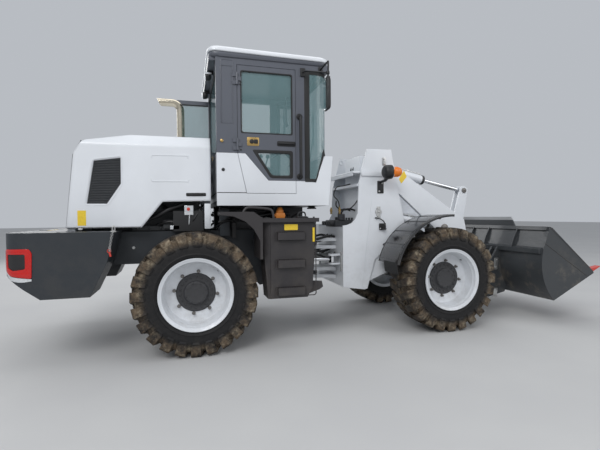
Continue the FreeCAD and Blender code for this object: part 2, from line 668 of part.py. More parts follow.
def build_exhaust():
    bend = [(s.pipe_x, s.hood_top - 370), (s.pipe_x, s.pipe_top - s.pipe_bend)]
    centre_x, centre_z = s.pipe_x - s.pipe_bend, s.pipe_top - s.pipe_bend
    for turn in (22.5, 45, 67.5, 90):
        angle = math.radians(turn)
        bend.append((centre_x + s.pipe_bend * math.cos(angle), centre_z + s.pipe_bend * math.sin(angle)))
    bend.append((s.pipe_x - s.pipe_bend - 165, s.pipe_top))
    pipe = flat_tube([Vector(x, 0, z) for x, z in bend], s.pipe_radius, 16)
    node("exhaust_stack", solid("Exhaust", pipe))


def hinge_axis():
    return Vector(s.door_rear - 5, s.cab_y + s.hinge_pin_y, 0)


def knuckle(low, side):
    """One hinge knuckle with its leaf; side is 1 on the door and -1 on the post."""
    axis = hinge_axis()
    tall = s.knuckle - s.running
    barrel = Part.makeCylinder(s.hinge_pin_y - s.running, tall, Vector(axis.x, axis.y, low))
    near, far = axis.x + side * 2, axis.x + side * 45
    leaf = Part.makeBox(abs(far - near), s.hinge_pin_y, tall, Vector(min(near, far), s.cab_y, low))
    return barrel.fuse(leaf)


def build_cab():
    inner = "cab_y - cab_wall"
    head = "cab_top - cab_beam"
    node("cab_floor", box("CabFloor", "cab_rear", "cab_front - 50", "-(%s)" % inner, inner, "cab_low",
                          "cab_floor"))
    side = plate("SidePanel", "XZ",
                 [("cab_rear", "cab_low"), ("cab_rear", "cab_split"), ("door_rear - door_gap", "cab_split"),
                  ("door_foot - door_gap", "door_low - door_gap"), ("door_front + door_gap",
                                                                    "door_low - door_gap"),
                  ("door_front + door_gap", "glass_low"), ("glass_foot", "glass_low"), ("glass_rise",
                                                                                        "cab_split"),
                  ("cab_front", "cab_split"), ("cab_front - 50", "cab_low")], inner, "cab_y")
    rear = box("RearPanel", "cab_rear", "cab_rear + cab_wall", "-(%s)" % inner, inner, "cab_floor",
               "cab_split")
    front = box("FrontPanel", "cab_front - 50 - cab_wall", "cab_front - 50", "-(%s)" % inner, inner,
                "cab_floor",
                "cab_split")
    cowl = box("Cowl", "cab_front - 50", "cab_front", "-(%s)" % inner, inner, "cab_split - 40", "cab_split")
    node("cab_panels", fuse("CabPanels", side, mirrored("SidePanelOther", side), rear, front, cowl))
    post = cut("RearPost", box("RearPostBlock", "cab_rear", "door_rear - door_gap", inner, "cab_y",
                               "cab_split", head),
               box("PostRecess", "cab_rear + 48", "door_rear - 52", "cab_y - 4", "cab_y + 1",
                   "cab_split + 300",
                   head + " - 22"))
    pillar = box("FrontPillar", "door_front + door_gap", "pillar_front", inner, "cab_y", "glass_low", head)
    beam = box("SideBeam", "cab_rear", "screen_front", inner, "cab_y", head, "cab_top")
    knuckles = [knuckle(low, -1) for level in HINGE_LEVELS for low in (level - s.knuckle, level + s.knuckle)]
    side = fuse("CabSide", post, pillar, beam, solid("FrameHinges", Part.makeCompound(knuckles)))
    cross = [box("RearBeam", "cab_rear", "cab_rear + 60", "-(%s)" % inner, inner, head, "cab_top"),
             box("FrontBeam", "screen_front - 60", "screen_front", "-(%s)" % inner, inner, head, "cab_top"),
             box("RoofLip", "roof_rear + 14", "cab_rear", "-(roof_y - 60)", "roof_y - 60", "cab_top - 45",
                 "cab_top")]
    node("cab_frame", fuse("CabFrame", side, mirrored("CabSideOther", side), *cross))
    roof = Part.makeBox(s.roof_front - s.roof_rear, 2 * s.roof_y, s.roof_wall, Vector(s.roof_rear, -s.roof_y,
                                                                                      s.cab_top))
    roof = cut_edges(roof, 70, lambda edge: edge.Length < s.roof_wall + 1)
    roof = cut_edges(roof, 30, lambda edge: edge.BoundBox.ZMin > s.cab_top + 1)
    node("cab_roof", solid("RoofShell", roof))
    outer = plate("ScreenOuter", "XY", [("pillar_front", "-cab_y"), ("screen_front", "-cab_y"),
                                        ("screen_front", "cab_y"), ("pillar_front", "cab_y")],
                  "glass_low", head, [("screen_corner", (1, 2))])
    hollow = plate("ScreenHollow", "XY",
                   [("pillar_front - 20", "-(cab_y - pane)"), ("screen_front - pane", "-(cab_y - pane)"),
                    ("screen_front - pane", "cab_y - pane"), ("pillar_front - 20", "cab_y - pane")],
                   "glass_low - 10", head + " + 10", [("screen_corner - pane", (1, 2))])
    sill = plate("ScreenSill", "XZ", [("glass_foot", "glass_low - 10"), ("glass_foot", "glass_low"),
                                      ("glass_rise", "cab_split"), ("screen_front + 20", "cab_split"),
                                      ("screen_front + 20", "glass_low - 10")], "-(cab_y + 10)",
                                      "cab_y + 10")
    node("windscreen", cut("Windscreen", outer, hollow, sill))
    node("rear_window", box("RearWindow", "cab_rear + 20", "cab_rear + 20 + pane", "-(%s)" % inner, inner,
                            "cab_split", head))
    seat = "cab_floor + 320"
    seat_base = box("SeatBase", "-820", "-480", "-200", "200", "cab_floor", seat)
    cushion = box("SeatCushion", "-880", "-420", "-250", "250", seat, seat + " + 100")
    back = plate("SeatBack", "XZ", [("-880", seat + " + 100"), ("-980", "cab_top - 460"), ("-880",
                                                                                           "cab_top - 440"),
                                    ("-760", seat + " + 100")], "-230", "230")
    node("operator_seat", fuse("OperatorSeat", seat_base, cushion, back))
    console = plate("Console", "XZ", [("-140", "cab_floor"), ("-140", "cab_floor + 400"), ("-210",
                                                                                           "cab_floor + 520"),
                                      ("-80", "cab_floor + 580"), ("-45", "cab_floor + 420"), ("-45",
                                                                                               "cab_floor")],
                    "-170", "170")
    tilt = FreeCAD.Rotation(Vector(0, 1, 0), -35)
    hub = Vector(-300, 0, s.cab_floor + 650)
    rim = ring_solid([(175, -12), (187, 0), (175, 12), (163, 0)], 24)
    rim = rim.fuse(Part.makeBox(40, 14, 350, Vector(-20, -7, -175)))
    rim.rotate(Vector(0, 0, 0), Vector(1, 0, 0), 90)
    rim.Placement = FreeCAD.Placement(hub, tilt).multiply(rim.Placement)
    column = Part.makeCylinder(28, 240, hub, tilt.multVec(Vector(0, 0, -1)))
    node("dashboard", fuse("Dashboard", console, solid("SteeringWheel", rim.fuse(column))))


def build_door(hand, side, is_open):
    """Door frame, white lower skin and glass; the open door lies folded back beside the hood."""
    x0, x1 = s.door_rear, s.door_front
    split, sill, foot = s.cab_split, s.glass_low, s.door_low
    high = s.cab_top - s.cab_beam - s.door_gap
    y0, y1 = s.cab_y - s.cab_wall, s.cab_y
    rail = s.door_rail
    corner, knee = x0 + 75, x0 + 315
    rung = split + (high - split) * s.door_rung
    frame = prism_y([(x0, split), (x0, high), (x1, high), (x1, sill), (knee, sill), (corner, split)],
                    y0 + 10, y1)
    window = prism_y([(x0 + rail, rung), (x0 + rail, high - rail * 1.5), (x1 - rail, high - rail * 1.5),
                      (x1 - rail, rung)], y0, y1 + 10)
    light = prism_y([(corner + 78, split + 38), (x1 - rail, split + 38), (x1 - rail, sill + 30), (knee + 26,
                                                                                                  sill + 30)],
                    y0, y1 + 10)
    frame = frame.cut(window).cut(light)
    skin = prism_y([(x0, split), (corner, split), (knee, sill), (x1, sill), (x1, foot), (s.door_foot, foot)],
                   y0 + 10, y1)
    sheet = prism_y([(x0, sill), (x0, high), (x1, high), (x1, sill)], y0 + 30, y0 + 30 + s.pane)
    for level in HINGE_LEVELS:
        frame = frame.fuse(knuckle(level, 1))
    pieces = {"door_" + hand: frame, "door_skin_" + hand: skin,
              "door_glass_" + hand: Part.makeCompound([window.common(sheet), light.common(sheet)])}
    hinge = hinge_axis()
    for label, shape in pieces.items():
        if is_open:
            shape = shape.copy()
            shape.rotate(hinge, Vector(0, 0, 1), 180)
        if side < 0:
            shape = shape.mirror(Vector(0, 0, 0), Vector(0, 1, 0))
        node(label, solid(label + "_shape", shape))


def build_rear_fenders():
    top = s.hood_foot + 143
    wall = s.fender_wall
    back, front = s.fender_rear, s.fender_front
    bend = front - 89
    skin = prism_y([(back, top), (bend, top), (front, top - 62), (front, top - 462), (front - wall,
                                                                                      top - 462),
                    (front - wall, top - 77), (bend - 10, top - wall), (back, top - wall)], s.fender_in,
                    s.fender_y)
    skirt = prism_y([(back, top), (bend, top), (front, top - 62), (front, top - 377), (front - 31,
                                                                                       top - 272),
                     (bend, top - 167), (bend - 80, top - 92), (bend - 190, top - 44), (back, top - 30)],
                    s.fender_y - wall, s.fender_y)
    foot = top - 272
    bracket = [(s.rail_y, foot), (s.rail_y, top), (s.fender_in + 10, top), (s.fender_in + 10, top - wall),
               (s.rail_y + 50, top - 112), (s.rail_y + 50, foot)]
    corners = [Vector(back + 165, y, z) for y, z in bracket]
    stay = Part.Face(Part.makePolygon(corners + corners[:1])).extrude(Vector(40, 0, 0))
    node("rear_fenders", pair("RearFenders", solid("RearFender", skin.fuse(skirt).fuse(stay))))
    low, high = s.step_low, s.step_high
    inner = s.cab_y
    body = prism_y([(front + 57, low), (front, high), (front + 565, high), (front + 511, low + 90),
                    (front + 461, low)], inner, s.step_y)
    plan = [Vector(front + x, y, low - 10) for x, y in (
        (-29, inner - 10), (-29, s.step_y - 60), (89, s.step_y), (536, s.step_y), (581, s.step_y - 45),
        (581, inner - 10))]
    body = body.common(Part.Face(Part.makePolygon(plan + plan[:1])).extrude(Vector(0, 0, high)))
    body = body.fuse(Part.makeBox(575, s.fender_y - inner + 10, 40, Vector(front, inner - 10, high)))
    count = int(s.step_count)
    for i in range(count):
        z = low + 34 + i * (high - low - 210) / (count - 1)
        body = body.fuse(Part.makeBox(s.tread_length, 53, 74, Vector(front + 149, s.step_y - 5, z)))
    body = body.fuse(Part.makeBox(120, inner + 10 - s.rail_y, 80, Vector(front + 201, s.rail_y,
                                                                         s.rail_low + 35)))
    body = body.fuse(prism_y([(front + 461, low + 20), (front + 461, low + 160), (front + 621, low + 150),
                              (front + 636, low + 90), (front + 601, low + 66)], s.step_y - 40,
                              s.step_y - 28))
    node("entry_steps", pair("EntrySteps", solid("EntryStep", body)))


def build_trim():
    grip, out = -300, s.cab_y + 52
    rail = flat_tube([Vector(grip, s.cab_y, 1712), Vector(grip, s.cab_y + 34, 1712), Vector(grip, out, 1735),
                      Vector(grip, out, 2375), Vector(grip, s.cab_y + 34, 2398), Vector(grip, s.cab_y,
                                                                                        2398)], 14)
    node("grab_handles", pair("GrabHandles", solid("GrabHandle", rail)))
    level = s.cab_top - 50
    stem = flat_tube([Vector(-60, s.cab_y, level), Vector(-60, s.cab_y + 235, level),
                      Vector(-60, s.cab_y + 250, level - 15), Vector(-60, s.cab_y + 250, level - 520)], 12)
    glass = Part.makeBox(36, 150, 330, Vector(-90, s.cab_y + 180, level - 500))
    node("mirrors", pair("Mirrors", solid("Mirror", stem.fuse(glass))))
    left, low = s.ballast_rear + s.ballast_corner + 8, s.ballast_top - 392
    lamp = prism_y([(left, low + 60), (left, low + 252), (left + 30, low + 262), (left + 46, low + 230),
                    (left + 40, low)], s.ballast_y, s.ballast_y + 22)
    work = Part.makeBox(70, 110, 110, Vector(s.cab_rear - 70, 300, s.cab_top - 155))
    node("rear_lamps", pair("RearLamps", solid("RearLamp", Part.makeCompound([lamp, work]))))
    node("transmission", box("Transmission", "-1080", "bulkhead_x", "-280", "280", "640", "1120"))
    tank = Part.makeBox(300, 130, 207, Vector(-1600, 430, s.rail_top))
    node("bay_fittings", pair("BayFittings", solid("BayTank", tank)))


def build_shafts():
    ahead = Vector(1, 0, 0)
    rear = flat_turned(Vector(-610, 0, s.steer_z), ahead,
                       [(0, 60), (18, 60), (19, 42), (540, 42), (556, 58), (626, 58)], 16)
    node("rear_drive_shaft", solid("RearShaft", rear))
    start, nose = Vector(560, 0, s.steer_z), Vector(s.front_axle_x - 330, 0, s.tyre_radius)
    front = flat_tube([Vector(70, 0, s.steer_z), start, nose - ahead * 6], 42, 16)
    front = front.fuse(flat_turned(start, ahead, [(-45, 62), (45, 62)], 12))
    front = front.fuse(flat_turned(nose, ahead, [(-14, 56), (30, 56)], 16))
    node("front_drive_shaft", solid("FrontShaft", front))


def tower_plate():
    """Outer plate of the front frame with its notch, and the gusset behind it that carries the axle."""
    low, high = s.side_y - s.side_wall, s.side_y
    axle_top = s.tyre_radius + s.axle_radius
    plate_low, ledge, top = s.frame_low, s.fork_x, s.tower_top
    outer = prism_y([(ledge, plate_low + 40), (ledge + 269, plate_low), (ledge + 309, plate_low + 8),
                     (ledge + 409, plate_low + 354), (s.arm_x + 110, plate_low + 574),
                     (s.arm_x + 250, plate_low + 784), (s.arm_x + 225, plate_low + 914), (s.arm_x + 135,
                                                                                          s.arm_z - 90),
                     (s.arm_x + 73, top), (s.wall_x, top), (s.wall_x - 66, s.shelf_top + 180),
                     (s.wall_x - 106, s.shelf_top), (s.wall_x - 118, s.shelf_top - 187),
                     (s.wall_x - 125, s.shelf_top - 361), (s.wall_x - 154, s.floor_top + 98),
                     (s.wall_x - 200, s.floor_top + 49), (s.wall_x - 256, s.floor_top + 28),
                     (ledge, s.floor_top + 20)], low, high)
    gusset = prism_y([(s.wall_x - 46, plate_low + 64), (s.arm_x + 55, plate_low + 204),
                      (s.front_axle_x - 170, axle_top), (s.front_axle_x + 170, axle_top),
                      (s.front_axle_x + 170, axle_top + 167), (s.front_axle_x - 130, axle_top + 347),
                      (s.arm_x + 250, s.floor_top), (s.wall_x + 94, s.floor_top),
                      (s.wall_x - 46, s.floor_top - 180)], low - s.side_wall, low)
    saddle = Part.makeBox(260, high - low + 60, 60, Vector(s.front_axle_x - 130, low - 60, axle_top))
    return holes(outer.fuse(gusset).fuse(saddle), [(s.arm_x, s.arm_z), (s.lift_x, s.lift_z)],
                 s.pin_radius + s.running, low - 10, high + 10)


def build_front_frame():
    low = s.side_y - s.side_wall
    reach = s.inner_y - s.side_wall
    wall_face = s.wall_x + 20
    inner = prism_y([(wall_face, s.floor_top), (wall_face, s.tower_top - 50), (s.arm_x + 60,
                                                                               s.tower_top - 50),
                     (s.arm_x + 140, s.shelf_top), (s.arm_x + 210, s.shelf_top - 400), (s.arm_x + 150,
                                                                                        s.floor_top)],
                    reach, s.inner_y)
    inner = holes(inner, [(s.arm_x, s.arm_z), (s.lift_x, s.lift_z)], s.pin_radius + s.running,
                  reach - 10, s.inner_y + 10)
    shape = None
    for part in (tower_plate(), inner):
        for piece in (part, part.mirror(Vector(0, 0, 0), Vector(0, 1, 0))):
            shape = piece if shape is None else shape.fuse(piece)
    shelf_low = s.shelf_top - s.shelf_wall
    floor_low = s.floor_top - 30
    plates = [Part.makeBox(wall_face - 490, 2 * low, s.shelf_wall, Vector(490, -low, shelf_low)),
              Part.makeBox(20, 2 * low, shelf_low - floor_low, Vector(s.wall_x, -low, floor_low)),
              Part.makeBox(770, 2 * low, 30, Vector(s.fork_x, -low, floor_low)),
              Part.makeBox(25, 2 * low, floor_low + 30 - s.frame_low - 44, Vector(s.fork_x, -low,
                                                                                  s.frame_low + 44)),
              Part.makeBox(20, 2 * s.inner_y, s.tower_top - 50 - s.shelf_top, Vector(s.wall_x, -s.inner_y,
                                                                                     s.shelf_top)),
              Part.makeBox(900, 2 * low, 25, Vector(640, -low, s.steer_z + 20))]
    for piece in plates:
        shape = shape.fuse(piece)
    shape = shape.fuse(Part.makeCylinder(55, 2 * reach, Vector(s.wall_x + 94, -reach, s.tower_top - 210),
                                         Vector(0, 1, 0)))
    eye = s.link_half + s.eye_gap
    lug = prism_y([(wall_face, s.tilt_z - 141), (wall_face, s.tilt_z + 79), (s.tilt_x, s.tilt_z + 69),
                   (s.tilt_x + 69, s.tilt_z), (s.tilt_x, s.tilt_z - 66), (s.tilt_x - 86, s.tilt_z - 141)],
                  eye, eye + 25)
    shape = shape.fuse(lug).fuse(lug.mirror(Vector(0, 0, 0), Vector(0, 1, 0)))
    shape = shape.fuse(round_y(s.tilt_x, s.tilt_z, s.tilt_pin, -eye - 25, eye + 25))
    shape = shape.fuse(pivot_fork())
    shape = shape.cut(Part.makeCylinder(70, 60, Vector(s.fork_x - 20, 0, s.steer_z), Vector(1, 0, 0)))
    shape = shape.cut(Part.makeBox(1000, 140, 60, Vector(600, -70, s.steer_z)))
    node("front_frame", solid("FrontFrame", shape.removeSplitter()))
    pins = []
    for x, z in ((s.arm_x, s.arm_z), (s.lift_x, s.lift_z)):
        pin = round_y(x, z, s.pin_radius, reach, s.side_y + 8)
        pins.append(pin.fuse(Part.makeBox(46, 8, 130, Vector(x - 23, s.side_y, z - 65))))
    node("frame_pins", pair("FramePins", solid("FramePin", Part.makeCompound(pins))))
    lamp_x, lamp_z = s.arm_x - 112, s.arm_z - 16
    lamp = flat_turned(Vector(lamp_x, 600, lamp_z), Vector(1, 0, 0),
                       [(0, 58), (30, 82), (100, 82), (102, 56), (205, 50)], 16)
    lamp = lamp.fuse(Part.makeBox(12, 150, 60, Vector(lamp_x + 27, s.side_y, lamp_z - 104)))
    lamp = lamp.fuse(Part.makeBox(12, 60, 120, Vector(lamp_x + 27, 560, lamp_z - 104)))
    node("front_lamps", pair("FrontLamps", solid("FrontLamp", lamp)))


def pivot_fork():
    """Forks round the rear frame's tongues with their pins, and the lugs of the steering rods."""
    shape = None
    for level in (s.hinge_top, s.hinge_low):
        for side in (1, -1):
            z0 = level + side * (s.hinge_plate / 2 + s.hinge_gap) - (0 if side > 0 else s.hinge_plate)
            corners = [Vector(s.fork_x, -210, z0), Vector(0, -s.hinge_radius, z0), Vector(0, s.hinge_radius,
                                                                                          z0),
                       Vector(s.fork_x, 210, z0)]
            fork = Part.Face(Part.makePolygon(corners + corners[:1])).extrude(Vector(0, 0, s.hinge_plate))
            fork = fork.fuse(Part.makeCylinder(s.hinge_radius, s.hinge_plate, Vector(0, 0, z0)))
            shape = fork if shape is None else shape.fuse(fork)
        half = s.hinge_plate * 1.5 + s.hinge_gap
        shape = shape.fuse(Part.makeCylinder(s.hinge_pin, 2 * half, Vector(0, 0, level - half)))
    for side in (1, -1):
        for shift in (1, -1):
            z0 = s.steer_z + shift * (s.steer_radius + s.eye_gap) - (20 if shift < 0 else 0)
            y = side * s.steer_front_y
            lug = Part.makeBox(s.fork_x - s.steer_front_x, 90, 20, Vector(s.steer_front_x, y - 45, z0))
            shape = shape.fuse(lug.fuse(Part.makeCylinder(45, 20, Vector(s.steer_front_x, y, z0))))
    return shape


def build_front_fenders():
    inner_r, outer_r = s.tyre_radius + 110, s.tyre_radius + 134
    start, end = math.radians(72), math.radians(162)
    x, z = s.front_axle_x + 20, s.tyre_radius + 20
    def spot(radius, angle):
        return Vector(x + radius * math.cos(angle), s.fender_in, z + radius * math.sin(angle))
    mid = (start + end) / 2
    wire = Part.Wire([
        Part.Arc(spot(outer_r, start), spot(outer_r, mid), spot(outer_r, end)).toShape(),
        Part.makeLine(spot(outer_r, end), spot(inner_r, end)),
        Part.Arc(spot(inner_r, end), spot(inner_r, mid), spot(inner_r, start)).toShape(),
        Part.makeLine(spot(inner_r, start), spot(outer_r, start))])
    skin = Part.Face(wire).extrude(Vector(0, 960 - s.fender_in, 0))
    arm = Part.makeBox(60, s.fender_in - s.side_y + 20, 40, Vector(930, s.side_y, 1150))
    node("front_fenders", pair("FrontFenders", solid("FrontFender", skin.fuse(arm))))


def build_arms():
    low, high = s.arm_y - s.arm_wall, s.arm_y
    outline = [(s.arm_x - 60, s.arm_z + 85), (s.arm_x + 30, s.arm_z + 145), (s.arm_x + 269, s.arm_z - 6),
               (s.tube_x + 74, s.tube_z + 247), (s.tube_x + 114, s.tube_z + 74), (s.bucket_x + 77,
                                                                                  s.bucket_z + 37),
               (s.bucket_x, s.bucket_z - 73), (s.bucket_x - 83, s.bucket_z - 23), (s.tube_x - 90,
                                                                                   s.tube_z - 50),
               (s.tube_x - 360, s.tube_z + 140), (s.arm_x + 216, s.arm_z - 265), (s.arm_x - 90,
                                                                                  s.arm_z - 60)]
    side = prism_y(outline, low, high)
    side = side.fuse(round_y(s.arm_x, s.arm_z, s.arm_boss, low - 8, high + 8))
    side = side.fuse(round_y(s.bucket_x, s.bucket_z, s.arm_end, low, high))
    cheek_y = s.lift_y - 45 - s.eye_gap
    cheek_top = s.lift_eye_z + 195
    cheek = prism_y([(s.lift_eye_x - 60, s.lift_eye_z), (s.lift_eye_x - 140, cheek_top),
                     (s.lift_eye_x + 20, cheek_top), (s.lift_eye_x + 60, s.lift_eye_z)], cheek_y - 22,
                     cheek_y)
    cheek = cheek.fuse(round_y(s.lift_eye_x, s.lift_eye_z, 60, cheek_y - 22, cheek_y))
    side = side.fuse(cheek)
    side = side.fuse(Part.makeBox(160, low - cheek_y + 22, 25, Vector(s.lift_eye_x - 140, cheek_y - 22,
                                                                      cheek_top - 25)))
    side = holes(side, [(s.arm_x, s.arm_z), (s.bucket_x, s.bucket_z)], s.pin_radius + s.running, low - 20,
                 high + 20)
    shape = side.fuse(side.mirror(Vector(0, 0, 0), Vector(0, 1, 0)))
    shape = shape.fuse(Part.makeCylinder(s.tube_radius, 2 * low, Vector(s.tube_x, -low, s.tube_z), Vector(0,
                                                                                                          1,
                                                                                                          0)))
    inner = s.lever_inner + s.lever_plate + s.eye_gap + 6
    lug = link_outline("LeverLug", [(s.tube_x, s.tube_z, s.tube_radius), (s.lever_x, s.lever_z, 75)],
                       inner, inner + 28).Shape
    shape = shape.fuse(lug).fuse(lug.mirror(Vector(0, 0, 0), Vector(0, 1, 0)))
    doc.removeObject("LeverLug")
    shape = shape.fuse(round_y(s.lever_x, s.lever_z, s.pin_radius, -inner - 28, inner + 28))
    node("lift_arms", solid("LiftArms", shape.removeSplitter()))


def build_lever():
    low, high = s.lever_inner, s.lever_inner + s.lever_plate
    top = (s.lever_top_x, s.lever_top_z, 62)
    mid = (s.lever_x, s.lever_z, 92)
    bottom = (s.lever_low_x, s.lever_low_z, 60)
    cheek = link_outline("LeverCheek", [top, mid, bottom], low, high)
    shape = cheek.Shape.fuse(cheek.Shape.mirror(Vector(0, 0, 0), Vector(0, 1, 0)))
    doc.removeObject(cheek.Name)
    shape = shape.fuse(round_y(s.lever_x, s.lever_z, 75, -high - 5, high + 5))
    shape = shape.cut(round_y(s.lever_x, s.lever_z, s.pin_radius + s.running, -high - 20, high + 20))
    shape = shape.fuse(round_y(s.lever_low_x, s.lever_low_z, 32, -high - 8, high + 8))
    node("tilt_lever", solid("TiltLever", shape.removeSplitter()))
    link = link_outline("LinkBar", [(s.lever_low_x, s.lever_low_z, 58), (s.link_x, s.link_z, 52)],
                        -s.link_half, s.link_half)
    shape = link.Shape.cut(round_y(s.lever_low_x, s.lever_low_z, 32 + s.running, -50, 50))
    doc.removeObject(link.Name)
    node("bucket_link", solid("BucketLink", shape))


def cylinder(base, tip, y, radius, barrel, half, eye, rod_start, bore):
    """Barrel and rod of a hydraulic cylinder in the XZ plane, from its base pin to its rod's eye."""
    run, length = direction(base[0], base[1], tip[0], tip[1])
    origin = Vector(base[0], y, base[1])
    neck = eye + 24
    tube = Part.makeCylinder(radius, barrel - neck, origin + run * neck, run)
    tube = tube.fuse(Part.makeCylinder(half - 2, neck, origin + run * 2, run))
    tube = tube.fuse(round_y(base[0], base[1], eye, y - half, y + half))
    tube = tube.cut(Part.makeCylinder(bore + s.running, barrel, origin + run * (neck + 16), run))
    tube = tube.cut(round_y(base[0], base[1], base[2] + s.running, y - 200, y + 200))
    rod = Part.makeCylinder(s.rod_radius, length - rod_start, origin + run * rod_start, run)
    rod = rod.fuse(Part.makeCylinder(bore, 40, origin + run * rod_start, run))
    rod = rod.fuse(round_y(tip[0], tip[1], eye, y - half, y + half))
    return tube, rod


def build_cylinders():
    tube, rod = cylinder((s.tilt_x, s.tilt_z, s.tilt_pin), (s.lever_top_x, s.lever_top_z), 0,
                         s.tilt_radius, s.tilt_length, s.link_half, s.eye_radius, 690, 46)
    node("tilt_barrel", solid("TiltBarrel", tube))
    node("tilt_rod", solid("TiltRod", rod))
    tube, rod = cylinder((s.lift_x, s.lift_z, s.pin_radius), (s.lift_eye_x, s.lift_eye_z), s.lift_y,
                         s.lift_radius, s.lift_length, 44, s.eye_radius + 8, 170, 38)
    node("lift_barrels", pair("LiftBarrels", solid("LiftBarrel", tube)))
    node("lift_rods", pair("LiftRods", solid("LiftRod", rod)))
    for hand, side in (("left", 1), ("right", -1)):
        base = Vector(s.steer_rear_x, side * s.steer_rear_y, s.steer_z)
        tip = Vector(s.steer_front_x, side * s.steer_front_y, s.steer_z)
        run = (tip - base) / (tip - base).Length
        tall = s.steer_radius
        tube = Part.makeCylinder(s.steer_radius, s.steer_length - 20, base + run * 20, run)
        tube = tube.fuse(Part.makeCylinder(40, 2 * tall, base - Vector(0, 0, tall)))
        tube = tube.cut(Part.makeCylinder(27, s.steer_length, base + run * 60, run))
        tube = tube.cut(Part.makeCylinder(18 + s.running, 4 * tall, base - Vector(0, 0, 2 * tall)))
        rod = Part.makeCylinder(18, (tip - base).Length - 256, base + run * 256, run)
        rod = rod.fuse(Part.makeCylinder(26.7, 30, base + run * 256, run))
        rod = rod.fuse(Part.makeCylinder(40, 2 * tall, tip - Vector(0, 0, tall)))
        node("steering_barrel_" + hand, solid("SteeringBarrel_" + hand, tube))
        node("steering_rod_" + hand, solid("SteeringRod_" + hand, rod))


def circle_through(a, b, c):
    """Centre and radius of the circle through three places in the XZ plane."""
    curve = Part.Arc(a, b, c).toShape().Curve
    return curve.Center, curve.Radius


